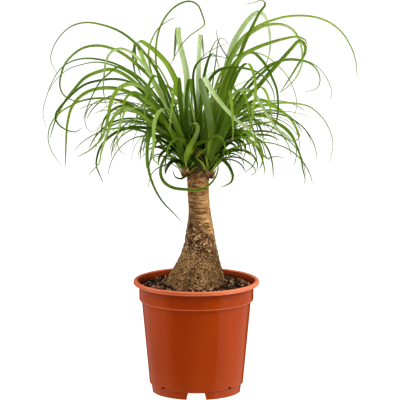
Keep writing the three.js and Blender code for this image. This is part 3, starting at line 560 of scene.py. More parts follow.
class Sock:
    """A shader's number, which Python's operators work on by adding Math nodes."""

    def __init__(self, graph: "Graph", socket: bpy.types.NodeSocket) -> None:
        """Wraps an output socket of one of the graph's nodes."""
        self.graph = graph
        self.socket = socket

    def math(self, operation: str, *operands: "Value", clamp: bool = False) -> "Sock":
        """Adds a Math node.

        Args:
            operation: The node's operation.
            operands: The values of its sockets.
            clamp: Whether the result is kept between 0 and 1.

        Returns:
            The result.
        """
        settings = {"operation": operation, "use_clamp": clamp}
        return self.graph.node("ShaderNodeMath", settings, dict(enumerate(operands)))

    def __add__(self, other: "Value") -> "Sock":
        """Adds."""
        return self.math("ADD", self, other)

    def __radd__(self, other: "Value") -> "Sock":
        """Adds to a number."""
        return self.math("ADD", other, self)

    def __sub__(self, other: "Value") -> "Sock":
        """Subtracts."""
        return self.math("SUBTRACT", self, other)

    def __rsub__(self, other: "Value") -> "Sock":
        """Subtracts from a number."""
        return self.math("SUBTRACT", other, self)

    def __mul__(self, other: "Value") -> "Sock":
        """Multiplies."""
        return self.math("MULTIPLY", self, other)

    def __rmul__(self, other: "Value") -> "Sock":
        """Multiplies a number."""
        return self.math("MULTIPLY", other, self)

    def __pow__(self, other: "Value") -> "Sock":
        """Raises to a power."""
        return self.math("POWER", self, other)

    def __abs__(self) -> "Sock":
        """Drops the sign."""
        return self.math("ABSOLUTE", self)

    def sine(self) -> "Sock":
        """Takes the sine."""
        return self.math("SINE", self)

    def clamped(self) -> "Sock":
        """Keeps the value between 0 and 1."""
        return self.math("ADD", self, 0.0, clamp=True)

    def step(self, low: float, high: float) -> "Sock":
        """Eases from 0 at low to 1 at high.

        Args:
            low: The value that gives 0.
            high: The value that gives 1, above or below low.

        Returns:
            The eased value.
        """
        ends = (low, high, 0.0, 1.0) if low < high else (high, low, 1.0, 0.0)
        sockets = {"Value": self, **dict(zip((1, 2, 3, 4), ends))}
        return self.graph.node("ShaderNodeMapRange", {"interpolation_type": "SMOOTHSTEP"}, sockets)


Value = Union[Sock, float, Colour]


class Graph:
    """A tree of shader nodes in the making."""

    def __init__(self, tree: bpy.types.NodeTree) -> None:
        """Wraps the tree of a material or a world."""
        self.tree = tree

    def plug(self, socket: bpy.types.NodeSocket, value: Value) -> None:
        """Links a value to a socket, or sets it there."""
        if isinstance(value, Sock):
            self.tree.links.new(value.socket, socket)
        elif isinstance(value, tuple) and socket.type == "RGBA":
            socket.default_value = (*value, 1.0)
        else:
            socket.default_value = value

    def node(
        self,
        kind: str,
        settings: Mapping[str, Any],
        sockets: Mapping[Union[int, str], Value],
        output: Union[int, str] = 0,
    ) -> Sock:
        """Adds a node.

        Args:
            kind: The node's type.
            settings: Its settings, set first. A ramp's stops are given as "stops".
            sockets: The values or links of its input sockets.
            output: The output to return.

        Returns:
            The output.
        """
        made = self.tree.nodes.new(kind)
        for name, value in settings.items():
            if name == "stops":
                self.set_stops(made.color_ramp, value)
            else:
                setattr(made, name, value)
        for key, value in sockets.items():
            self.plug(made.inputs[key], value)
        return Sock(self, made.outputs[output])

    @staticmethod
    def set_stops(ramp: bpy.types.ColorRamp, stops: Sequence[tuple[float, Colour]]) -> None:
        """Gives a ramp its stops, each a place and a colour."""
        while len(ramp.elements) < len(stops):
            ramp.elements.new(0.5)
        for element, (place, colour) in zip(ramp.elements, stops):
            element.position = place
            element.color = (*colour, 1.0)

    def mix(self, factor: Value, low: Value, high: Value, blend: str = "MIX") -> Sock:
        """Mixes two colours.

        Args:
            factor: How much of the second colour shows.
            low: The first colour.
            high: The second colour.
            blend: How they are mixed.

        Returns:
            The mixed colour.
        """
        settings = {"data_type": "RGBA", "blend_type": blend}
        return self.node("ShaderNodeMix", settings, {0: factor, 6: low, 7: high}, 2)

    def ramp(self, factor: Value, *stops: tuple[float, Colour]) -> Sock:
        """Colours a value by a ramp."""
        return self.node("ShaderNodeValToRGB", {"stops": stops}, {0: factor})

    def place(self, stretch: tuple[float, float, float] = (1.0, 1.0, 1.0)) -> Sock:
        """Gives the object's own coordinates in metres, each one stretched."""
        at = self.node("ShaderNodeTexCoord", {}, {}, "Object")
        return self.node("ShaderNodeVectorMath", {"operation": "MULTIPLY"}, {0: at, 1: stretch})

    def parts(self, vector: Sock) -> tuple[Sock, Sock, Sock]:
        """Splits a vector into its three numbers."""
        first = self.node("ShaderNodeSeparateXYZ", {}, {0: vector})
        outputs = first.socket.node.outputs
        return first, Sock(self, outputs[1]), Sock(self, outputs[2])

    def attribute(self, name: str) -> tuple[Sock, Sock, Sock]:
        """Reads the three numbers of a mesh attribute."""
        read = self.node("ShaderNodeAttribute", {"attribute_name": name}, {}, "Vector")
        return self.parts(read)

    def noise(self, at: Sock, scale: float, detail: float = 3.0, roughness: float = 0.55) -> Sock:
        """Gives a noise from 0 to 1 with features of 1 / scale metres."""
        sockets = {"Vector": at, "Scale": scale, "Detail": detail, "Roughness": roughness}
        return self.node("ShaderNodeTexNoise", {}, sockets)

    def cell_edges(self, at: Sock, scale: float) -> Sock:
        """Gives the distance to the nearest edge of a pattern with cells of 1 / scale metres."""
        settings = {"feature": "DISTANCE_TO_EDGE"}
        return self.node("ShaderNodeTexVoronoi", settings, {"Vector": at, "Scale": scale}, "Distance")

    def cell_colours(self, at: Sock, scale: float) -> Sock:
        """Gives each cell of the same pattern a random colour of its own."""
        return self.node("ShaderNodeTexVoronoi", {}, {"Vector": at, "Scale": scale}, "Color")


class Shader(Graph):
    """A procedural material in the making."""

    def __init__(self, name: str) -> None:
        """Starts a material of this name with one Principled shader."""
        self.material = bpy.data.materials.new(name)
        self.material.use_nodes = True
        super().__init__(self.material.node_tree)
        self.surface = self.tree.nodes["Principled BSDF"]

    def finish(
        self,
        colour: Value,
        roughness: Value,
        height: Sock | None = None,
        depth: float = 0.0,
        **constants: Any,
    ) -> bpy.types.Material:
        """Plugs the shader's sockets.

        Args:
            colour: The base colour.
            roughness: The roughness.
            height: The relief, from 0 to 1, if there is one.
            depth: The relief's depth in metres.
            constants: Other sockets of the Principled shader, with underscores for spaces.

        Returns:
            The material.
        """
        self.plug(self.surface.inputs["Base Color"], colour)
        self.plug(self.surface.inputs["Roughness"], roughness)
        if height is not None:
            bump = self.node("ShaderNodeBump", {}, {"Height": height, "Distance": depth}, "Normal")
            self.plug(self.surface.inputs["Normal"], bump)
        for name, value in constants.items():
            self.surface.inputs[name.replace("_", " ")].default_value = value
        return self.material


# ---------------------------------------------------------------- finishes


@dataclass(frozen=True)
class MouldedPlastic:
    """The pot's satin terracotta-coloured plastic.

    Each span is in metres, from where a mark starts to show to where it is full.
    """

    colour: Colour = (0.350, 0.050, 0.002)
    pale: Colour = (0.64, 0.195, 0.100)
    deep: Colour = (0.305, 0.040, 0.001)
    # Painted shade, for the inner wall and the band under the rim.
    shade_colour: Colour = (0.16, 0.024, 0.003)
    dusty_height: Span = (0.05, 0.0)
    rim_height: Span = (0.1455, 0.1480)
    # Where the painted light on the rim grows towards the right side.
    rim_light_side: Span = (0.01, 0.05)
    inner_height: Span = (0.130, 0.131)
    inner_radius: Span = (0.0768, 0.0764)
    flare_height: Span = (0.1455, 0.1505)
    flare: float = 0.0022
    # Where the painted shadow under the rim starts and ends.
    rim_shadow_foot: Span = (0.140, 0.1462)
    rim_shadow_top: Span = (0.1472, 0.1466)
    # Where the painted highlight along the collar's lower edge starts and ends.
    highlight_foot: Span = (0.1255, 0.1262)
    highlight_top: Span = (0.1276, 0.1269)
    roughness: float = 0.6
    coat: float = 0.52
    coat_roughness: float = 0.17
    grain_depth: float = 0.00002

    def material(self) -> bpy.types.Material:
        """Makes the plastic: faint flow marks, a little dust and fine moulded grain, with painted light on
        the rim and along the collar's lower edge, and painted shade under the rim and on the inner wall.
        """
        shader = Shader("pot_plastic")
        at = shader.place()
        side, depth, height = shader.parts(at)
        radius = (side * side + depth * depth) ** 0.5
        flow = shader.noise(shader.place((1.0, 1.0, 0.22)), 26.0, 4.0)
        grain = shader.noise(at, 1400.0, 2.0)
        dust = shader.noise(at, 190.0, 5.0, 0.7).step(0.56, 0.78)
        low = height.step(*self.dusty_height)
        colour = shader.mix(flow.step(0.3, 0.75), self.deep, self.colour)
        rim = height.step(*self.rim_height)
        # Painted light: the rim's band is paler, and more so on the right side. The dust and the dust near
        # the foot are the plastic's own.
        rim_light = rim * (0.62 + side.step(*self.rim_light_side) * 0.38)
        colour = shader.mix(dust * 0.14 + low * 0.06 + rim_light, colour, self.pale)
        flare = height.step(*self.flare_height) * self.flare
        # Painted shade: the inner wall above the soil is darkened. It also loses its coat.
        inside = height.step(*self.inner_height) * (radius - flare).step(*self.inner_radius)
        # Painted shadow: a dark band on the collar under the rim's overhang.
        rim_shadow = height.step(*self.rim_shadow_foot) * height.step(*self.rim_shadow_top)
        colour = shader.mix(rim_shadow * 0.45 + inside * 0.85, colour, self.shade_colour)
        # Painted highlight: a thin pale line along the collar's lower edge.
        edge = height.step(*self.highlight_foot) * height.step(*self.highlight_top)
        colour = shader.mix(edge * 0.45, colour, self.pale)
        shader.plug(shader.surface.inputs["Coat Weight"], self.coat - inside * self.coat)
        return shader.finish(
            colour, self.roughness, grain, self.grain_depth,
            Specular_IOR_Level=0.0, Coat_Roughness=self.coat_roughness,
        )


@dataclass(frozen=True)
class PottingSoil:
    """Dark, crumbly potting soil with paler bits."""

    dark: Colour = (0.005, 0.003, 0.002)
    brown: Colour = (0.290, 0.150, 0.080)
    pale: Colour = (0.46, 0.27, 0.14)
    brown_tone: Span = (0.45, 0.98)
    pale_tone: Span = (0.86, 0.93)
    grain_depth: float = 0.0006

    def material(self) -> bpy.types.Material:
        """Makes the soil: each crumb has its own tone, and all are mottled."""
        shader = Shader("potting_soil")
        tone = shader.attribute("crumb")[0]
        at = shader.place()
        fine = shader.noise(at, 900.0, 4.0, 0.7)
        mottle = shader.noise(at, 260.0, 2.0)
        share = tone.step(*self.brown_tone) * 0.85 + mottle.step(0.48, 0.70) * 0.20
        colour = shader.mix(share, self.dark, self.brown)
        fleck = tone.step(*self.pale_tone) * fine.step(0.35, 0.6)
        colour = shader.mix(fleck * 0.8, colour, self.pale)
        roughness = 0.82 + fine * 0.12
        return shader.finish(colour, roughness, fine, self.grain_depth, Specular_IOR_Level=0.15)


@dataclass(frozen=True)
class Bark:
    """The trunk's bark: cork below, then rough chips, and scarred tan bark above.

    Each span is in metres, from where a kind of bark starts to show to where it is full.
    """

    cork: Colour = (0.27, 0.152, 0.058)
    cork_dark: Colour = (0.062, 0.029, 0.009)
    cork_pale: Colour = (0.60, 0.395, 0.195)
    chip: Colour = (0.40, 0.225, 0.100)
    chip_pale: Colour = (0.86, 0.60, 0.35)
    crevice: Colour = (0.040, 0.018, 0.008)
    tan: Colour = (0.37, 0.205, 0.080)
    tan_dark: Colour = (0.150, 0.066, 0.021)
    tan_pale: Colour = (0.78, 0.52, 0.28)
    husk: Colour = (0.095, 0.052, 0.022)
    chipped_height: Span = (0.186, 0.200)
    tan_height: Span = (0.226, 0.235)
    husk_height: Span = (0.292, 0.304)
    chips_per_metre: float = 430.0
    relief_depth: float = 0.0016

    def cork_colour(self, shader: Shader, at: Sock) -> Sock:
        """Colours the cork: fine curly specks of brown, olive and straw."""
        curl = abs(shader.noise(at, 250.0, 3.0, 0.7) - 0.5)
        specks = shader.noise(at, 560.0, 3.0, 0.7)
        broad = shader.noise(at, 50.0, 2.0)
        tone = specks + (broad - 0.5) * 0.25 - curl * 0.9
        colour = shader.mix(tone.step(0.33, 0.48), self.cork_dark, self.cork)
        return shader.mix(tone.step(0.46, 0.56) * 0.85, colour, self.cork_pale)

    def chip_colour(self, shader: Shader) -> Sock:
        """Colours the chips: each has its own tone, with dark crevices between them."""
        at = shader.place((1.0, 1.0, 1.4))
        wander = shader.node("ShaderNodeTexNoise", {}, {"Vector": at, "Scale": 300.0}, "Color")
        moved = shader.mix(0.0045, at, wander, "ADD")
        tone = shader.parts(shader.cell_colours(moved, self.chips_per_metre))[0]
        colour = shader.mix(tone.step(0.05, 0.7), self.cork_dark, self.chip)
        colour = shader.mix(tone.step(0.71, 0.82) * 0.85, colour, self.chip_pale)
        crack = shader.cell_edges(moved, self.chips_per_metre).step(0.14, 0.03)
        return shader.mix(crack * 0.85, colour, self.crevice)

    def tan_colour(self, shader: Shader, lines: Sock, relief: Sock) -> Sock:
        """Colours the upper bark: tan, with broken dark scratches along its ring scars.

        Args:
            shader: The bark's shader.
            lines: A noise drawn out into level lines.
            relief: How far the mesh stands out, from 0 to 1.

        Returns:
            The colour.
        """
        breaks = shader.noise(shader.place((1.0, 1.0, 0.6)), 210.0, 3.0, 0.6)
        broad = shader.noise(shader.place((1.0, 1.0, 0.5)), 42.0, 2.0)
        scar = relief.step(0.62, 0.36) * breaks.step(0.40, 0.52)
        dark = (0.47 - lines + (broad - 0.5) * 0.35 + (breaks - 0.5) * 0.45).step(0.0, 0.10)
        colour = shader.mix((dark + scar * 0.55).clamped(), self.tan, self.tan_dark)
        light = lines.step(0.50, 0.64) * breaks.step(0.40, 0.58)
        return shader.mix(light * 0.8, colour, self.tan_pale)

    def material(self) -> bpy.types.Material:
        """Makes the bark, which changes with height and follows the relief of the mesh, with painted shade in
        its sunk crevices, on the upper trunk's left and on the caudex's right.
        """
        shader = Shader("bark")
        at = shader.place()
        side, _, height = shader.parts(at)
        relief, knots, _ = shader.attribute("bark")
        wander = shader.noise(at, 34.0, 3.0)
        ragged = shader.noise(at, 150.0, 3.0, 0.6)
        level = height + (wander - 0.5) * 0.06 + (ragged - 0.5) * 0.05
        chipped = (level + side * 0.10).step(*self.chipped_height)
        upper = (level + side * 1.3).step(*self.tan_height)
        colour = shader.mix(chipped, self.cork_colour(shader, at), self.chip_colour(shader))
        lines = shader.noise(shader.place((0.14, 0.14, 1.0)), 430.0, 4.0, 0.65)
        colour = shader.mix(upper, colour, self.tan_colour(shader, lines, relief))
        # Painted shade: darker where the bark's relief is sunk, in its crevices.
        colour = shader.mix(relief.step(0.40, 0.08) * 0.7, colour, self.cork_dark)
        colour = shader.mix(knots * 0.7, colour, self.crevice)
        neck = level.step(*self.husk_height) * 0.85
        colour = shader.mix(neck, colour, self.husk)
        # Painted shade: the upper trunk is darker on its left side and the caudex on its right.
        shade = (level.step(0.215, 0.235) * side.step(0.008, -0.004)
                 + level.step(0.200, 0.180) * side.step(0.006, 0.022))
        colour = shader.mix(shade * 0.42, colour, self.cork_dark)
        grain = shader.noise(at, 640.0, 3.0, 0.7)
        roughness = 0.78 + grain * 0.15
        rough = shader.mix(upper, grain, lines * 0.5)
        return shader.finish(colour, roughness, rough, self.relief_depth, Specular_IOR_Level=0.12)


@dataclass(frozen=True)
class DryLeaf:
    """Papery, dry leaf bases."""

    straw: Colour = (0.92, 0.50, 0.25)
    brown: Colour = (0.085, 0.030, 0.010)

    def material(self) -> bpy.types.Material:
        """Makes the dry leaf: brown at its foot and straw-coloured above, with fine veins."""
        shader = Shader("dry_leaf")
        across, _, share = shader.attribute("blade")
        tone = shader.attribute("growth")[0]
        wear = shader.noise(shader.place(), 480.0, 4.0, 0.7)
        veins = (across * 24.0).sine() * 0.5 + 0.5
        dried = share.step(0.0, 0.6) * 0.45 + tone.step(0.25, 0.7) * 0.8
        straw = dried * (wear * 0.6 + veins * 0.4).step(0.18, 0.42)
        colour = shader.mix(straw.clamped(), self.brown, self.straw)
        return shader.finish(colour, 0.78, veins * 0.6 + wear * 0.4, 0.0004)


@dataclass(frozen=True)
class LeafBlade:
    """A strap leaf: pale where it clasps the bud, then glossy green with fine lengthwise veins.

    Each span is a way along the leaf in tenths of a metre, from where a tone starts to show to
    where it is full.
    """

    name: str
    deep: Colour = (0.016, 0.048, 0.002)
    fresh: Colour = (0.104, 0.195, 0.001)
    bright: Colour = (0.240, 0.350, 0.022)
    pale: Colour = (0.480, 0.580, 0.320)
    under: Colour = (0.075, 0.170, 0.004)
    foot: Colour = (0.46, 0.60, 0.08)
    dry: Colour = (0.30, 0.22, 0.10)
    # Where the painted sheen along a leaf starts and where it is full.
    sheen_reach: Span = (0.25, 0.95)
    shaded_reach: Span = (1.05, 0.20)
    foot_reach: Span = (0.75, 0.15)
    vein_pitch: float = 19.0
    thread_pitch: float = 47.0
    vein_depth: float = 0.00016

    def material(self) -> bpy.types.Material:
        """Makes the leaf from how far along, how far across and on which side each point is."""
        shader = Shader(self.name)
        across, distance, share = shader.attribute("blade")
        tone, side, dryness = shader.attribute("growth")
        at = shader.place()
        patches = shader.noise(at, 22.0, 2.0)
        wander = shader.noise(at, 120.0, 2.0)
        veins = (across * self.vein_pitch + wander * 2.0).sine() * 0.5 + 0.5
        threads = (across * self.thread_pitch).sine() * 0.5 + 0.5
        # Painted sheen: a leaf's tone rises over its first 25 to 95 mm, so pale leaves look lit further out.
        sheen_along = distance.step(*self.sheen_reach)
        mood = (tone * (0.60 + sheen_along * 0.40) + (patches - 0.5) * 0.6).clamped()
        colour = shader.ramp(
            mood, (0.0, self.deep), (0.34, self.fresh), (0.66, self.bright), (1.0, self.pale)
        )
        colour = shader.mix((1 - side) * 0.45, colour, self.under)
        shade = 0.48 + veins * 0.34 + threads * 0.24
        colour = shader.mix(1.0, colour, shader.ramp(shade, (0, (0, 0, 0)), (1, (1, 1, 1))), "MULTIPLY")
        margin = abs(across).step(0.86, 0.98)
        colour = shader.mix(margin * 0.30, colour, self.bright)
        # Painted shade: leaves of low tone darken towards their foot, inside the head.
        shaded = distance.step(*self.shaded_reach) * (0.92 - tone).clamped() * 0.95
        colour = shader.mix(shaded, colour, self.deep)
        pale = distance.step(*self.foot_reach) * tone.step(0.30, 0.75)
        colour = shader.mix(pale * 0.72, colour, self.foot)
        ends = share.step(0.90, 0.99) * (0.1 + dryness * 0.5)
        colour = shader.mix(ends, colour, self.dry)
        colour = shader.mix(dryness.step(0.985, 0.99) * share.step(0.2, 0.6), colour, self.dry)
        roughness = 0.38 + veins * 0.07 + patches * 0.08
        relief = veins * 0.7 + threads * 0.3
        return shader.finish(
            colour, roughness, relief, self.vein_depth, Specular_IOR_Level=0.22,
            Subsurface_Weight=0.15, Subsurface_Radius=(0.6, 1.0, 0.2), Subsurface_Scale=0.0015,
        )


@dataclass(frozen=True)
class StudioPaint:
    """The studio's plain pale floor, which gives off a light of its own."""

    colour: Colour = (0.22, 0.22, 0.22)
    glow: float = 0.86

    def material(self) -> bpy.types.Material:
        """Makes the floor."""
        return Shader("studio_floor").finish(
            self.colour, 0.9, Specular_IOR_Level=0.1, Emission_Color=(1.0, 1.0, 1.0, 1.0),
            Emission_Strength=self.glow,
        )


# ---------------------------------------------------------------- pot


@dataclass
class Pot:
    """A thin moulded pot with a rolled rim, a collar, a foot ring and drainage notches."""

    height: float = 152.4
    wall: float = 1.4
    rim_radius: float = 85.0
    rim_inner_radius: float = 79.0
    collar_radius: float = 77.3
    collar_foot: float = 126.2
    body_top_radius: float = 73.7
    body_foot_radius: float = 63.5
    foot_height: float = 10.6
    foot_radius: float = 60.3
    foot_top_radius: float = 61.5
    notches: int = 4
    notch_width: Span = (27.0, 22.5)
    notch_reach: float = 8.0
    drain_slot: Span = (14.0, 9.0)
    drain_margin: float = 3.0
    weep_slot: Span = (6.0, 2.4)
    weep_rise: float = 1.0
    weep_reach: float = 6.0
    segments: int = 288
    sharp_edge: float = 32.0

    def outline(self) -> np.ndarray:
        """Draws the wall's section, from the middle of the floor's underside to its upper side."""
        foot, top, wall = self.foot_height, self.height, self.wall
        inside = self.collar_radius - wall
        corners = (
            (0, foot - wall / 2, 0),
            (self.foot_top_radius - wall - 0.1, foot - wall / 2, 0.6),
            (self.foot_radius - wall, 0, 0.3),
            (self.foot_radius, 0, 0.4),
            (self.foot_top_radius, foot, 0.25),
            (self.body_foot_radius - 0.35, foot + 0.35, 1.4),
            (self.body_foot_radius + 0.1, foot + 4.2, 1.2),
            (self.body_top_radius, self.collar_foot - 1.9, 0.9),
            (self.collar_radius - 0.5, self.collar_foot - 0.6, 0.8),
            (self.collar_radius - 0.2, self.collar_foot + 0.9, 0.5),
            (self.collar_radius, top - 6.2, 0.6),
            (self.rim_radius - 1.2, top - 5.6, 1.3),
            (self.rim_radius + 0.1, top - 3.6, 0.9),
            (self.rim_radius - 1.3, top - 2.75, 0.3),
            (self.rim_radius - 0.1, top - 1.6, 0.8),
            (self.rim_radius - 1.6, top, 1.2),
            (self.rim_inner_radius + 0.6, top, 0.8),
            (self.rim_inner_radius - 0.9, top - 1.9, 0.9),
            (inside, top - 7, 1.2),
            (inside - 0.3, self.collar_foot + 0.6, 0.7),
            (self.body_top_radius - wall, self.collar_foot - 1.7, 0.7),
            (self.body_foot_radius - wall, foot + 3.4, 1.0),
            (self.body_foot_radius - wall - 2, foot + wall / 2, 1.0),
            (0, foot + wall / 2, 0),
        )
        return rounded_outline(corners)

    def cutters(self) -> list[tuple[list[Span], float, float, float]]:
        """Lists what is cut out: an outline in x and z, two radii and an angle."""
        top = self.foot_height - self.wall / 2 - 0.2
        low, high = (width / 2 for width in self.notch_width)
        notch = [(-low, -1.0), (low, -1.0), (high, top), (-high, top)]
        slot_width, slot_depth = self.drain_slot
        weep_width, weep_height = self.weep_slot
        weep_foot = self.foot_height + self.weep_rise
        reach = self.foot_radius - self.drain_margin
        cuts = []
        for index in range(self.notches):
            angle = 2 * math.pi * index / self.notches
            between_notches = angle + math.pi / self.notches
            slot = self.slot_outline(slot_width, 1.0, self.foot_height + 2)
            weep = self.slot_outline(weep_width, weep_foot, weep_foot + weep_height)
            cuts.append((notch, self.foot_radius - self.notch_reach, self.rim_radius, angle))
            cuts.append((slot, reach - slot_depth, reach, angle))
            cuts.append((weep, self.foot_radius - self.weep_reach, self.rim_radius, between_notches))
        return cuts

    @staticmethod
    def slot_outline(width: float, low: float, high: float) -> list[Span]:
        """Draws an upright rectangle in x and z."""
        half = width / 2
        return [(-half, low), (half, low), (half, high), (-half, high)]

    def cutter_mesh(self) -> MeshParts:
        """Builds the prisms that are cut out of the wall."""
        parts = MeshParts()
        for outline, inner, outer, angle in self.cutters():
            turn = np.array(Matrix.Rotation(angle, 3, "Z"))
            near = [(x, -inner, z) for x, z in outline]
            far = [(x, -outer, z) for x, z in outline]
            sides = [[i, (i + 1) % 4, (i + 1) % 4 + 4, i + 4] for i in range(4)]
            faces = [*sides, [3, 2, 1, 0], [4, 5, 6, 7]]
            parts.add(np.array(near + far) @ turn.T, faces)
        return parts

    def build(self) -> list[bpy.types.Object]:
        """Builds the pot in place of its node.

        Returns:
            The pot alone, in a list.
        """
        material = MouldedPlastic().material()
        shell = MeshParts()
        shell.add(*revolved(self.outline(), self.segments))
        whole = shell.make("pot_shell", material)
        cutter = self.cutter_mesh().make("cutter", material)
        cut = whole.modifiers.new("cut", "BOOLEAN")
        cut.operation, cut.solver, cut.object = "DIFFERENCE", "EXACT", cutter
        graph = bpy.context.evaluated_depsgraph_get()
        mesh = bpy.data.meshes.new_from_object(whole.evaluated_get(graph))
        for spent in (whole, cutter):
            bpy.data.objects.remove(spent)
        mesh.materials.clear()
        pot = dressed("pot_shell", mesh, material, self.sharp_edge)
        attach(pot, BODY)
        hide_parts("pot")
        return [pot]


# ---------------------------------------------------------------- trunk


class ScaleRing(NamedTuple):
    """A ring of dry leaf bases: their count, the ring's height and radius, and how far they lean in."""

    count: int
    height: float
    radius: float
    lean: float


@dataclass
class Trunk:
    """The swollen trunk with its bark and the dry leaf bases round its neck.

    Each of its rows is a height, the radius there and the middle's x.
    """

    rows: tuple[tuple[float, float, float], ...] = (
        (98, 0, -1.3),
        (98.6, 22, -1.3),
        (104, 33, -1.3),
        (114, 38.6, -1.3),
        (128, 40.6, -1.3),
        (141, 40.4, -1.3),
        (147, 39.7, -1.3),
        (151.5, 38.7, -1),
        (158, 36.8, -0.4),
        (165, 34, 0.3),
        (172, 31, 1.2),
        (179, 28, 2.3),
        (187, 25.4, 3.7),
        (196, 23.2, 4.6),
        (206, 20.8, 5.3),
        (217, 19, 5.3),
        (228, 17.3, 5.3),
        (240, 15.5, 4.9),
        (254, 14.5, 4),
        (268, 14.4, 2.9),
        (282, 14.5, 2.4),
        (292, 15, 2.2),
        (299, 15.6, 2.2),
        (306, 13.4, 2.2),
        (314, 10.6, 2.2),
        (322, 8.6, 2.2),
        (327, 5.4, 2.2),
        (328.5, 0, 2.2),
    )
    rings: int = 250
    segments: int = 180
    swell: float = 0.035
    bark_foot: Span = (141.0, 149.0)
    bark_top: Span = (321.0, 328.0)
    scarred_height: Span = (205.0, 250.0)
    knotted_foot: Span = (185.0, 205.0)
    knotted_top: Span = (222.0, 238.0)
    cork_depth: float = 1.5
    scar_gap: float = 5.4
    scar_depth: float = 0.55
    knot_depth: float = 0.5
    scale_rings: tuple[ScaleRing, ...] = (
        ScaleRing(10, 291, 13.4, 15),
        ScaleRing(7, 306, 10.2, 14),
        ScaleRing(13, 298, 12.6, 24),
        ScaleRing(8, 313, 7.8, 18),
    )
    scale_width: float = 7.0
    scale_length: Span = (8.0, 15.0)
    scale_seed: int = 5
    sunk: float = 4.0
    stub_scales: int = 15
    stub_radius: float = 4.6
    stub_lean: float = 22.0
    stub_depth: float = 9.0
    sharp_edge: float = 60.0

    def relief(self, point: Vector, angle: float) -> tuple[float, float, float]:
        """Works out the bark's relief at a point.

        Args:
            point: The point on the bare trunk.
            angle: Its angle round the trunk.

        Returns:
            How far the bark stands out, in millimetres, its height from 0 to 1 and how much of a
            knot there is.
        """
        height = point.z
        upper = float(smoothstep(height + 9 * noise.noise(point * 0.06), *self.scarred_height))
        swell = 0.6 * math.sin(3 * angle + height / 19) + 0.4 * math.sin(7 * angle - height / 11)
        stretched = Vector((point.x * 0.27, point.y * 0.27, point.z * 0.2))
        near, second, *_ = noise.voronoi(stretched)[0]
        plates = float(smoothstep(second - near, 0.0, 0.34))
        grain = noise.fractal(point * 0.33, 0.7, 2.1, 4)
        cork = 0.62 * plates + 0.38 * min(max(0.5 + grain, 0.0), 1.0)
        wander = 0.6 * noise.noise(point * 0.09) + 0.12 * math.sin(2 * angle)
        phase = (height / self.scar_gap + wander) % 1.0
        scar = phase**2 * (1.0 - float(smoothstep(phase, 0.86, 1.0)))
        smooth = 0.35 + 0.65 * scar + 0.15 * noise.noise(point * 0.5)
        level = lerp(cork, smooth, upper)
        depth = lerp(self.cork_depth, self.scar_depth, upper)
        spot = noise.noise(Vector((point.x * 0.12, point.y * 0.12, point.z * 0.1 + 7.0)))
        above = float(smoothstep(height, *self.knotted_foot))
        band = above * (1 - float(smoothstep(height, *self.knotted_top)))
        knot = float(smoothstep(spot, 0.28 - 0.22 * band, 0.5 - 0.16 * band))
        radius = math.hypot(point.x, point.y)
        out = self.swell * swell * radius + depth * (level - 0.6) - self.knot_depth * knot
        return out, level, knot * (0.5 + 0.5 * band)

    def bark_mesh(self) -> MeshParts:
        """Builds the trunk's body with its bark in relief."""
        route = np.array([(radius, z, middle) for z, radius, middle in self.rows])
        outline = spaced_curve(route, self.rings)
        outline[0][0] = outline[-1][0] = 0.0
        vertices, faces = revolved(outline[:, :2], self.segments)
        details = np.zeros((len(vertices), 3))
        middles = np.interp(vertices[:, 2], outline[:, 1], outline[:, 2])
        shown = smoothstep(vertices[:, 2], *self.bark_foot)
        shown = shown * (1 - smoothstep(vertices[:, 2], *self.bark_top))
        for index, (x, y, z) in enumerate(vertices):
            if shown[index] == 0:
                continue
            angle = math.atan2(x, -y)
            out, level, knot = self.relief(Vector((x, y, z)), angle)
            stretch = 1 + shown[index] * out / max(math.hypot(x, y), 1.0)
            vertices[index, :2] = x * stretch, y * stretch
            details[index] = level, knot, 0.0
        vertices[:, 0] += middles
        parts = MeshParts()
        parts.add(vertices, faces, bark=details)
        return parts

    def scale(self, draw: Draw, foot: np.ndarray, outward: np.ndarray, lean: float) -> "Blade":
        """Makes one dry leaf base.

        Args:
            draw: Where its unevenness comes from.
            foot: Where it starts.
            outward: The level direction that its back faces.
            lean: How far it leans outward, in degrees.

        Returns:
            The dry leaf base.
        """
        tilt = math.radians(lean + between(draw, -10, 10))
        length = between(draw, *self.scale_length)
        along = outward * math.sin(tilt) + np.array((0, 0, math.cos(tilt)))
        bow = outward * between(draw, 0.6, 2.6)
        route = np.array([foot + along * length * t + bow * t * t for t in (0, 0.35, 0.7, 1)])
        width = self.scale_width * between(draw, 0.6, 1.05)
        return Blade(route, width, (0, between(draw, -25, 25)), tip=0.4, taper=1.3, foot_share=0.9,
                     thickness=(0.5, 0.2), tone=draw(), step=1.6, facing=outward)

    def scales(self, feet: Sequence[tuple[float, float, float]]) -> MeshParts:
        """Builds the dry leaf bases: in rings against the neck, and round the foot of each head.

        Args:
            feet: The feet of the heads of leaves.

        Returns:
            The leaf bases' mesh.
        """
        draw = seeded(self.scale_seed)
        parts = MeshParts()
        middle = self.rows[-1][2]
        for count, height, radius, lean in self.scale_rings:
            for index in range(count):
                angle = 2 * math.pi * (index + 0.3 * draw()) / count
                outward = np.array((math.sin(angle), -math.cos(angle), 0.0))
                foot = outward * radius + np.array((middle, 0, height - self.sunk))
                self.scale(draw, foot, outward, -lean).add_to(parts)
        for x, y, z in feet:
            for index in range(self.stub_scales):
                angle = 2 * math.pi * (index + 0.6 * draw()) / self.stub_scales
                outward = np.array((math.sin(angle), -math.cos(angle), 0.0))
                level = z - between(draw, 0, self.stub_depth)
                foot = np.array((x, y, level)) + outward * self.stub_radius
                self.scale(draw, foot, outward, self.stub_lean).add_to(parts)
        return parts

    def build(self, feet: Sequence[tuple[float, float, float]]) -> list[bpy.types.Object]:
        """Builds the trunk in place of its node.

        Args:
            feet: The feet of the heads of leaves.

        Returns:
            The trunk and its dry leaf bases.
        """
        trunk = self.bark_mesh().make("trunk_bark", Bark().material(), self.sharp_edge)
        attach(trunk, BODY)
        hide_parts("trunk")
        scales = self.scales(feet).make("dry_leaf_bases", DryLeaf().material())
        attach(scales, BODY)
        return [trunk, scales]


# ---------------------------------------------------------------- soil


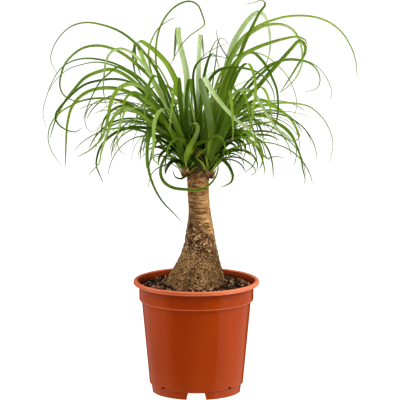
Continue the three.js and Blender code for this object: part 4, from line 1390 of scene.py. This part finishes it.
@dataclass
class Soil:
    """The potting soil: a lumpy body and loose crumbs bedded in its top."""

    level: float = 143.5
    mound: float = 2.2
    lumps: float = 1.7
    tone: float = 0.25
    clearance: float = 0.4
    crumbs: int = 2000
    crumb_size: Span = (1.2, 3.5)
    crumb_seed: int = 71
    top_rings: int = 30
    segments: int = 150

    def top_height(self, x: float, y: float, share: float) -> float:
        """Gives the height of the top at a place and its share of the way to the wall."""
        rise = self.mound * (1 - share) ** 2
        lump = self.lumps * noise.fractal(Vector((x, y, 3.0)) * 0.16, 0.8, 2.0, 4)
        return self.level + rise + lump * (1 - 0.7 * float(smoothstep(share, 0.9, 1.0)))

    def body(self, pot: Pot, trunk: Trunk) -> MeshParts:
        """Builds the soil's body.

        Args:
            pot: The pot that it fills.
            trunk: The trunk that stands in it.

        Returns:
            The body's mesh.
        """
        gap, wall = self.clearance, pot.wall
        hole = [(radius + gap if radius else 0.0, z - (0 if radius else gap))
                for z, radius, _ in trunk.rows if z < self.level]
        brim = hole[-1][0]
        edge = pot.collar_radius - wall - gap
        shares = np.linspace(0.0, 1.0, self.top_rings)
        top = [(brim + share * (edge - brim), self.level) for share in shares]
        side = [
            (edge - 0.3, pot.collar_foot + 0.6),
            (pot.body_top_radius - wall - gap, pot.collar_foot - 1.7),
            (pot.body_foot_radius - wall - gap, pot.foot_height + 3.8),
            (pot.body_foot_radius - wall - 2 - gap, pot.foot_height + wall / 2 + gap),
            (0.0, pot.foot_height + wall / 2 + gap),
        ]
        outline = np.array([*hole, *top, *side])[::-1]
        vertices, faces = revolved(outline, self.segments)
        floor, _, middle = trunk.rows[0]
        tones = np.full((len(vertices), 3), self.tone)
        for vertex in vertices:
            x, y, z = vertex
            radius = math.hypot(x, y)
            in_hole = radius <= brim + 0.01
            if in_hole and z > floor - 1:
                vertex[0] += middle
            if z > self.level - 0.01:
                share = (radius - brim) / (edge - brim)
                vertex[0] += 0.0 if in_hole else middle * (1 - share)
                vertex[2] = self.top_height(x, y, share)
        parts = MeshParts()
        parts.add(vertices, faces, crumb=tones)
        return parts

    def crumb(self, draw: Draw, size: float) -> tuple[np.ndarray, list[list[int]]]:
        """Makes one crumb: a rough, uneven ball.

        Args:
            draw: Where its unevenness comes from.
            size: Its mean radius.

        Returns:
            Its vertices about its middle, and its faces.
        """
        rows = np.array([(math.sin(a), -math.cos(a)) for a in np.linspace(0, math.pi, 6)])
        rows[0][0] = rows[-1][0] = 0.0
        vertices, faces = revolved(rows, 8)
        shift = Vector((draw(), draw(), draw())) * 50
        swell = [0.8 + 0.75 * noise.noise(Vector(vertex) * 1.25 + shift) for vertex in vertices]
        stretch = np.array([between(draw, 0.7, 1.3) for _ in range(3)])
        turn = np.array(Matrix.Rotation(draw() * 6.3, 3, Vector((draw(), draw(), draw() + 0.1))))
        return (vertices * np.array(swell)[:, None] * stretch * size) @ turn.T, faces

    def loose(self, pot: Pot, trunk: Trunk) -> MeshParts:
        """Scatters the crumbs over the soil between the trunk and the pot's wall."""
        draw = seeded(self.crumb_seed)
        parts = MeshParts()
        inner = trunk.rows[6][1] - 0.5
        outer = pot.collar_radius - pot.wall - self.clearance
        for _ in range(self.crumbs):
            size = lerp(*self.crumb_size, draw() ** 2.2)
            reach = outer - size * 1.45
            radius = math.sqrt(between(draw, inner**2, reach**2))
            angle = 2 * math.pi * draw()
            share = (radius - inner) / (outer - inner)
            x = radius * math.sin(angle) + trunk.rows[0][2] * (1 - share)
            y = -radius * math.cos(angle)
            vertices, faces = self.crumb(draw, size)
            lift = self.top_height(x, y, share) + size * between(draw, -0.2, 0.55)
            tone = draw()
            parts.add(vertices + (x, y, lift), faces, crumb=np.full((len(vertices), 3), tone))
        return parts

    def build(self, pot: Pot, trunk: Trunk) -> list[bpy.types.Object]:
        """Builds the soil in place of its node.

        Args:
            pot: The pot that it fills.
            trunk: The trunk that stands in it.

        Returns:
            The soil's body and its loose crumbs.
        """
        material = PottingSoil().material()
        body = self.body(pot, trunk).make("soil_body", material, 180.0)
        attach(body, BODY)
        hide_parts("soil")
        crumbs = self.loose(pot, trunk).make("soil_crumbs", material, 180.0)
        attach(crumbs, BODY)
        return [body, crumbs]


# ---------------------------------------------------------------- leaves


@dataclass
class Blade:
    """One strap leaf along a route, as a closed ribbon folded up along its middle."""

    route: np.ndarray
    width: float
    roll: Span
    tip: float = 0.7
    fold: float = 0.3
    thickness: Span = (0.55, 0.26)
    tone: float = 0.5
    varied: float = 0.3
    dryness: float = 0.0
    sway: float = 0.0
    step: float = 5.6
    taper: float = 0.8
    foot_share: float = 0.5
    facing: np.ndarray | None = None

    COLUMNS: ClassVar[np.ndarray] = np.array((-1.0, -0.52, 0.0, 0.52, 1.0))
    LAYOUT_COLUMNS: ClassVar[int] = 4
    LAYOUT_MARGIN: ClassVar[float] = 0.06
    FEWEST_STEPS: ClassVar[int] = 5

    def half_widths(self, t: np.ndarray) -> np.ndarray:
        """Gives half the blade's width along it: broad at the foot, then tapering."""
        broad = 1 + 0.3 * np.exp(-(((t - 0.12) / 0.14) ** 2))
        foot = broad * lerp(self.foot_share, 1.0, smoothstep(t, 0.0, 0.12))
        return (self.tip + (self.width - self.tip) * (1 - t**1.7) ** self.taper * foot) / 2

    def ring_frames(self, points: np.ndarray) -> list[tuple[np.ndarray, np.ndarray]]:
        """Gives each point's directions across and up, carried along the route and rolled."""
        last = len(points) - 1
        if self.facing is None:
            reach = points[round(last * 0.6)] - points[0]
            side = np.array((-reach[1], reach[0], 0.0))
        else:
            side = np.cross(points[-1] - points[0], -self.facing)
        side = side / np.linalg.norm(side)
        frames = []
        for index in range(last + 1):
            tangent = points[min(index + 1, last)] - points[max(index - 1, 0)]
            tangent = tangent / np.linalg.norm(tangent)
            side = side - tangent * side.dot(tangent)
            side = side / np.linalg.norm(side)
            t = index / last
            sway = self.sway * math.sin(9 * t + 20 * self.tone) * t
            turn = math.radians(lerp(*self.roll, t) + sway)
            across = turned_about(side, tangent, turn)
            frames.append((across, np.cross(tangent, across)))
        return frames

    def add_to(self, parts: MeshParts, cell: int = 0, cells: int = 0) -> None:
        """Adds the blade's mesh to a piece.

        Args:
            parts: The piece's mesh.
            cell: The blade's own number in the piece.
            cells: How many blades the piece is laid out for, or 0 for no layout.
        """
        length = curve_length(spaced_curve(self.route, 60))
        last = max(self.FEWEST_STEPS, math.ceil(length / self.step))
        points = spaced_curve(self.route, last + 1)
        shares = np.linspace(0.0, 1.0, last + 1)
        halves = self.half_widths(shares)
        columns = self.COLUMNS
        middle, margin = self.thickness
        rings, blades, growths = [], [], []
        for (across, up), point, half, t in zip(self.ring_frames(points), points, halves, shares):
            rise = self.fold * half * (1.3 * np.abs(columns) ** 1.5 - 0.3)
            thick = np.minimum(lerp(middle, margin, columns**2), half * 0.8)
            flat = point + np.outer(columns * half, across)
            top = flat + np.outer(rise, up)
            under = top - np.outer(thick, up)
            rings.append(np.vstack((top, under[::-1])))
            place = np.stack((columns, 0 * columns + t * length / 100, 0 * columns + t), axis=1)
            blades.append(np.vstack((place, place[::-1])))
            sides = np.repeat((1.0, 0.0), len(columns))
            tones = np.full_like(sides, self.tone)
            growths.append(np.stack((tones, sides, tones * 0 + self.dryness), axis=1))
        ring = 2 * len(columns)
        faces = [
            [row * ring + i, row * ring + (i + 1) % ring,
             (row + 1) * ring + (i + 1) % ring, (row + 1) * ring + i]
            for row in range(last) for i in range(ring)
        ]
        faces = [face[::-1] for face in faces]
        faces += [list(range(ring)), [last * ring + i for i in reversed(range(ring))]]
        layout = self.layout(last, cell, cells) if cells else None
        parts.add(np.vstack(rings), faces, layout, blade=np.vstack(blades), growth=np.vstack(growths))

    def layout(self, last: int, cell: int, cells: int) -> np.ndarray:
        """Lays the blade's two sides out flat, each in a strip of its own.

        Args:
            last: How many steps the blade has.
            cell: The blade's own number in the piece.
            cells: How many blades the piece holds.

        Returns:
            The place of each face corner in the unit square.
        """
        wide = len(self.COLUMNS)
        strips = math.ceil(2 * cells / self.LAYOUT_COLUMNS)
        size = np.array((1 / self.LAYOUT_COLUMNS, 1 / strips))

        def spot(share: float, across: float, side: int) -> np.ndarray:
            """Gives a place in the strip of one side."""
            column, row = divmod(2 * cell + side, strips)
            inside = 1 - 2 * self.LAYOUT_MARGIN
            corner = np.array((column, row)) + self.LAYOUT_MARGIN
            return (corner + inside * np.array((share, across))) * size

        places = []
        for row in range(last):
            for i in range(2 * wide):
                side = int(i >= wide)
                steps = min(i - side * wide, wide - 1), min(i + 1 - side * wide, wide - 1)
                low, high = (step / (wide - 1) for step in steps)
                here, there = row / last, (row + 1) / last
                corners = ((here, low), (here, high), (there, high), (there, low))
                places += [spot(*corner, side) for corner in reversed(corners)]
        for end, order in ((0.0, range(2 * wide)), (1.0, reversed(range(2 * wide)))):
            places += [spot(end, (i % wide) / (wide - 1), 0) for i in order]
        return np.array(places)


@dataclass(frozen=True)
class Filling:
    """Leaves of one kind that fill a head, each drawn within these spans.

    Lengths and widths are in millimetres and turns in degrees: the sector that the leaves head for,
    how far past level they bend, and the most that they swerve or roll to either side. Upright is
    how upright they start, from 0 to 1, and phase is where in that span the first of them lies.
    """

    count: int
    sector: Span
    lengths: Span
    widths: Span
    upright: Span
    phase: float
    past_level: Span
    swerve: float
    roll: float
    tone: float


def inner_leaves(count: int, sector: Span) -> Filling:
    """Describes the shorter leaves in a head's middle."""
    return Filling(
        count, sector, lengths=(50.0, 110.0), widths=(6.5, 9.5), upright=(0.0, 1.0), phase=0.3,
        past_level=(-20.0, 80.0), swerve=85.0, roll=60.0, tone=0.25,
    )


def fine_leaves(count: int, sector: Span) -> Filling:
    """Describes the slender pale leaves between the others."""
    return Filling(
        count, sector, lengths=(120.0, 195.0), widths=(2.4, 4.2), upright=(0.5, 1.0), phase=0.6,
        past_level=(10.0, 90.0), swerve=60.0, roll=70.0, tone=0.9,
    )


@dataclass
class LeafHead:
    """One head of strap leaves that grow from a bud on the trunk's top."""

    head: Head
    foot: tuple[float, float, float]
    sector: Span
    leaves: int
    lengths: Span
    seed: int
    fillings: tuple[Filling, ...]
    widths: Span = (6.5, 9.0)
    past_level: Span = (50.0, 96.0)
    core: Span = (4.4, 13.0)
    turn: float = 42.0
    arch_steps: int = 16
    sheaths: int = 18
    sheath_lengths: Span = (22.0, 46.0)
    sheath_widths: Span = (3.4, 5.4)

    def placed_route(self, placed: PlacedLeaf) -> np.ndarray:
        """Gives the points of a listed leaf, from inside the bud to its tip."""
        x, y, z = self.foot
        first_x, first_z = placed.route[0]
        rise = math.atan2(first_z - z, abs(first_x - x))
        points = [np.array((x, y, z - 4 + 8 * max(0.0, math.sin(rise))))]
        for index, (plane_x, plane_z) in enumerate(placed.route):
            t = (index + 1) / len(placed.route)
            middle, tip = placed.depth
            along = y * (1 - t) * (1 - 2 * t) + middle * 4 * t * (1 - t) + tip * t * (2 * t - 1)
            sight = np.array((plane_x, 0.0, plane_z)) - EYE
            points.append(EYE + sight * (1 - along / EYE[1]))
        return np.array(points)

    def placed_leaf(self, placed: PlacedLeaf) -> Blade:
        """Makes a listed leaf, which turns its upper face a little to the front."""
        route = self.placed_route(placed)
        reach = route[round(0.6 * (len(route) - 1))] - route[0]
        aside = reach[0] / math.hypot(reach[0], reach[1])
        sign = math.copysign(1.0, aside)
        roll = (self.turn * aside + sign * placed.roll[0],
                0.5 * self.turn * aside + sign * placed.roll[1])
        varied = 0.0 if placed.tone is not None else 0.25
        tone = 0.5 if placed.tone is None else placed.tone
        return Blade(route, placed.width, roll, tone=tone, varied=varied, dryness=float(placed.dry))

    def arched_route(
        self, bearing: float, upright: float, length: float, fall: float, swerve: float
    ) -> np.ndarray:
        """Gives the points of a leaf that rises, arches over and hangs.

        Args:
            bearing: Where it heads, in degrees from +X towards +Y.
            upright: How upright it starts, from 0 to 1.
            length: Its length in millimetres.
            fall: How far it bends over, in degrees.
            swerve: How far it turns aside, in degrees.

        Returns:
            Its points.
        """
        rise = self.first_rise(upright)
        point = np.array(self.foot) + (0, 0, 4 + 16 * upright)
        points = [point]
        for step in range(self.arch_steps):
            t = (step + 0.5) / self.arch_steps
            pitch = math.radians(rise - fall * t**1.2)
            turn = math.radians(bearing + swerve * t * t)
            level = math.cos(pitch)
            heading = np.array((level * math.cos(turn), level * math.sin(turn), math.sin(pitch)))
            point = point + heading * (length / self.arch_steps)
            points.append(point)
        return np.array(points)

    @staticmethod
    def first_rise(upright: float) -> float:
        """Gives the angle in degrees at which a leaf leaves the bud."""
        return 48 + 34 * upright

    def drawn_leaf(self, draw: Draw, index: int) -> Blade:
        """Draws one of the leaves that the frame's node holds too."""
        low, high = self.sector
        bearing = low + (index + draw()) / self.leaves * (high - low)
        upright = (index * GOLDEN) % 1
        length = between(draw, self.lengths[0], lerp(*self.lengths, upright))
        fall = self.first_rise(upright) + between(draw, *self.past_level)
        swerve = between(draw, -22, 22)
        route = self.arched_route(bearing, upright, length, fall, swerve)
        roll = (0.0, between(draw, -50, 50))
        return Blade(route, between(draw, *self.widths), roll, tone=0.45, varied=0.42)

    def filling_leaf(self, draw: Draw, kind: Filling, index: int) -> Blade:
        """Draws one of the leaves that fill the head.

        Args:
            draw: Where its unevenness comes from.
            kind: The leaves that it is one of.
            index: Its number among them.

        Returns:
            The leaf.
        """
        low, high = kind.sector
        bearing = low + (index + draw()) / kind.count * (high - low)
        upright = lerp(*kind.upright, (index * GOLDEN + kind.phase) % 1)
        length = between(draw, *kind.lengths)
        fall = self.first_rise(upright) + between(draw, *kind.past_level)
        swerve = between(draw, -kind.swerve, kind.swerve)
        route = self.arched_route(bearing, upright, length, fall, swerve)
        width = between(draw, *kind.widths)
        return Blade(route, width, (0.0, between(draw, -kind.roll, kind.roll)), tone=kind.tone)

    def sheath(self, draw: Draw, index: int) -> Blade:
        """Makes one of the short young leaves that clasp the bud."""
        angle = 2 * math.pi * (index + 0.5 * draw()) / self.sheaths
        outward = np.array((math.cos(angle), math.sin(angle), 0.0))
        tier = index % 3
        foot = np.array((self.foot[0], self.foot[1], self.foot[2] - 6 + 4 * tier)) + outward * 2.2
        length = between(draw, *self.sheath_lengths)
        lean = between(draw, 0.3, 1.2)
        route = np.array([foot + outward * (2.4 * t**0.5 + lean * length * t**1.5)
                          + (0, 0, length * (t - 0.25 * lean * t**3)) for t in np.linspace(0, 1, 7)])
        roll = (0.0, between(draw, -30, 30))
        width = between(draw, *self.sheath_widths)
        return Blade(route, width, roll, step=2.5, fold=0.5, facing=outward)

    def bud(self) -> tuple[np.ndarray, list[list[int]]]:
        """Builds the bud's body, with folds like leaves rolled round each other."""
        radius, half = self.core
        angles = np.linspace(0, math.pi, 20)
        rows = np.stack((radius * np.sin(angles), -half * np.cos(angles)), axis=1)
        rows[0][0] = rows[-1][0] = 0.0
        vertices, faces = revolved(rows, 48)
        around = np.arctan2(vertices[:, 0], -vertices[:, 1])
        folds = 1 + 0.06 * np.sin(9 * around + vertices[:, 2] / 5)
        vertices[:, :2] *= folds[:, None]
        return vertices + np.array(self.foot) + (0, 0, 8), faces

    def blades(self) -> list[Blade]:
        """Lists all the head's blades."""
        own = [entry for entry in (*LEAVES, *SLIGHT_LEAVES) if entry.head is self.head]
        blades = [self.placed_leaf(entry) for entry in own]
        draw = seeded(self.seed)
        blades += [self.drawn_leaf(draw, index) for index in range(self.leaves)]
        draw = seeded(self.seed + 100)
        for kind in self.fillings:
            blades += [self.filling_leaf(draw, kind, index) for index in range(kind.count)]
        for blade in blades:
            blade.tone += between(draw, -blade.varied, blade.varied)
            blade.dryness = max(blade.dryness, 0.97 * draw())
            blade.sway = between(draw, 0, 16)
        clasping = [self.sheath(draw, index) for index in range(self.sheaths)]
        for blade in clasping:
            blade.tone = 0.4 + 0.6 * draw()
        return blades + clasping

    def build(self) -> list[bpy.types.Object]:
        """Builds the head in place of its node.

        Returns:
            The head alone, in a list.
        """
        name = self.head.value
        parts = MeshParts()
        blades = self.blades()
        for cell, blade in enumerate(blades):
            blade.add_to(parts, cell, len(blades))
        vertices, faces = self.bud()
        corners = sum(len(face) for face in faces)
        pale = np.tile((0.0, 0.4, 0.1), (len(vertices), 1))
        # Painted shade: the bud's low tone makes it deep green, as dark as the middle of the head.
        growth = np.tile((0.05, 1.0, 0.0), (len(vertices), 1))
        parts.add(vertices, faces, np.full((corners, 2), 0.001), blade=pale, growth=growth)
        made = parts.make(f"leaves_{name}", LeafBlade(f"leaf_{name}").material())
        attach(made, BODY)
        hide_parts(f"leaf_head_{name}")
        return [made]


HEADS = (
    LeafHead(
        Head.LEFT, foot=(-12.5, -6, 300), sector=(108, 168), leaves=11, lengths=(180, 240), seed=11,
        fillings=(inner_leaves(14, (90, 245)), fine_leaves(17, (130, 240))),
    ),
    LeafHead(
        Head.RIGHT, foot=(17, -4, 300), sector=(12, 72), leaves=11, lengths=(180, 240), seed=23,
        fillings=(inner_leaves(14, (-60, 90)), fine_leaves(15, (-60, 50))),
    ),
    LeafHead(
        Head.BACK, foot=(3, 14, 302), sector=(48, 132), leaves=18, lengths=(176, 234), seed=45,
        fillings=(inner_leaves(14, (0, 180)), fine_leaves(10, (50, 130))),
    ),
)


# ---------------------------------------------------------------- studio


@dataclass(frozen=True)
class Softbox:
    """A large soft light that points at the plant, with its place in degrees and metres."""

    name: str
    bearing: float
    elevation: float
    distance: float
    size: Span
    watts: float

    def build(self, target: Vector) -> bpy.types.Object:
        """Hangs the light.

        Args:
            target: Where it points.

        Returns:
            The light.
        """
        turn, lift = math.radians(self.bearing), math.radians(self.elevation)
        level = math.cos(lift)
        away = Vector((math.sin(turn) * level, -math.cos(turn) * level, math.sin(lift)))
        lamp = bpy.data.lights.new(self.name, "AREA")
        lamp.shape = "RECTANGLE"
        lamp.size, lamp.size_y = self.size
        lamp.energy = self.watts
        made = bpy.data.objects.new(self.name, lamp)
        made.location = target + away * self.distance
        made.rotation_euler = (-away).to_track_quat("-Z", "Y").to_euler()
        bpy.context.scene.collection.objects.link(made)
        return made


@dataclass(frozen=True)
class GlowPanel:
    """An upright panel of light round the set, between two bearings from the front."""

    start: float
    end: float
    start_blend: float
    end_blend: float
    upper_glow: float
    lower_glow: float
    horizon: Span = (-0.22, -0.12)

    def lit(self, bearing: Sock, height: Sock) -> Sock:
        """Gives the panel's light in a direction.

        Args:
            bearing: The bearing in degrees, from the front towards the right.
            height: The direction's upward part, from -1 to 1.

        Returns:
            The light from there.
        """
        begun = bearing.step(self.start - self.start_blend, self.start)
        unended = bearing.step(self.end + self.end_blend, self.end)
        glow = self.lower_glow + height.step(*self.horizon) * (self.upper_glow - self.lower_glow)
        return begun * unended * glow


@dataclass
class Studio:
    """A plain pale floor, soft lights and the camera."""

    floor_reach: float = 14.0
    eye: tuple[float, float, float] = tuple(EYE * MM)
    pitch: float = 10.275
    image_side: float = 400.0
    focal_pixels: float = 3027.7
    sensor: float = 36.0
    contrast: str = "Medium High Contrast"
    ambient_glow: float = 0.03
    panels: tuple[GlowPanel, ...] = (
        GlowPanel(52, 140, start_blend=3, end_blend=10, upper_glow=0.38, lower_glow=0.80),
        GlowPanel(-150, -82, start_blend=10, end_blend=30, upper_glow=0.32, lower_glow=0.60),
    )
    lights: tuple[Softbox, ...] = (
        Softbox("softbox_right", 80, elevation=32, distance=1.7, size=(0.9, 0.9), watts=21.0),
        Softbox("softbox_left", -98, elevation=32, distance=1.7, size=(0.9, 0.9), watts=14.0),
        Softbox("softbox_top", 6, elevation=64, distance=2.2, size=(2.0, 2.0), watts=50.0),
    )

    def build_floor(self) -> bpy.types.Object:
        """Lays the floor."""
        reach = self.floor_reach
        mesh = bpy.data.meshes.new("studio_floor")
        corners = [(-reach, -reach, 0), (reach, -reach, 0), (reach, reach, 0), (-reach, reach, 0)]
        mesh.from_pydata(corners, [], [[0, 1, 2, 3]])
        mesh.materials.append(StudioPaint().material())
        made = bpy.data.objects.new("studio_floor", mesh)
        bpy.context.scene.collection.objects.link(made)
        made.visible_glossy = False
        made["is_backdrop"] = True
        return made

    def build_camera(self) -> bpy.types.Object:
        """Sets the camera up in front of the plant, looking slightly down."""
        lens = bpy.data.cameras.new("camera")
        lens.sensor_width = self.sensor
        lens.lens = self.focal_pixels / self.image_side * self.sensor
        lens.clip_end = 100.0
        made = bpy.data.objects.new("camera", lens)
        made.location = self.eye
        made.rotation_euler = (math.radians(90 - self.pitch), 0.0, 0.0)
        bpy.context.scene.collection.objects.link(made)
        bpy.context.scene.camera = made
        return made

    def build_world(self) -> None:
        """Surrounds the set with an even pale light."""
        world = bpy.data.worlds.new("studio")
        world.use_nodes = True
        graph = Graph(world.node_tree)
        across, along, height = graph.parts(graph.node("ShaderNodeTexCoord", {}, {}, "Generated"))
        bearing = across.math("ARCTAN2", across, along * -1.0) * (180 / math.pi)
        lit = sum((panel.lit(bearing, height) for panel in self.panels), self.ambient_glow)
        seen = graph.node("ShaderNodeLightPath", {}, {}, "Is Camera Ray")
        backdrop = world.node_tree.nodes["Background"]
        graph.plug(backdrop.inputs["Color"], (1.0, 1.0, 1.0))
        graph.plug(backdrop.inputs["Strength"], lit + (1.0 - lit) * seen)
        bpy.context.scene.world = world

    def build(self, target: Vector) -> None:
        """Builds the studio.

        Args:
            target: What the lights point at.
        """
        view = bpy.context.scene.view_settings
        view.view_transform = "Standard"
        view.look = self.contrast
        self.build_floor()
        self.build_camera()
        self.build_world()
        for light in self.lights:
            light.build(target)


# ---------------------------------------------------------------- scene


def as_lists(bounds: Iterable[Iterable[float]]) -> list[list[float]]:
    """Turns a box's corners into plain lists."""
    return [[float(number) for number in corner] for corner in bounds]


def main() -> None:
    """Builds the plant and its studio."""
    logging.basicConfig(level=logging.INFO, format="%(name)s: %(message)s")
    frame_box = as_lists(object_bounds())
    pot, trunk, soil = Pot(), Trunk(), Soil()
    feet = [head.foot for head in HEADS]
    pieces = [*pot.build(), *trunk.build(feet), *soil.build(pot, trunk)]
    for head in HEADS:
        pieces += head.build()
    low, high = frame_box
    Studio().build(Vector((0.0, 0.0, (low[2] + high[2]) / 2)))
    for piece in pieces:
        LOG.info("%s has %d faces", piece.name, len(piece.data.polygons))


if __name__ == "__main__":
    main()
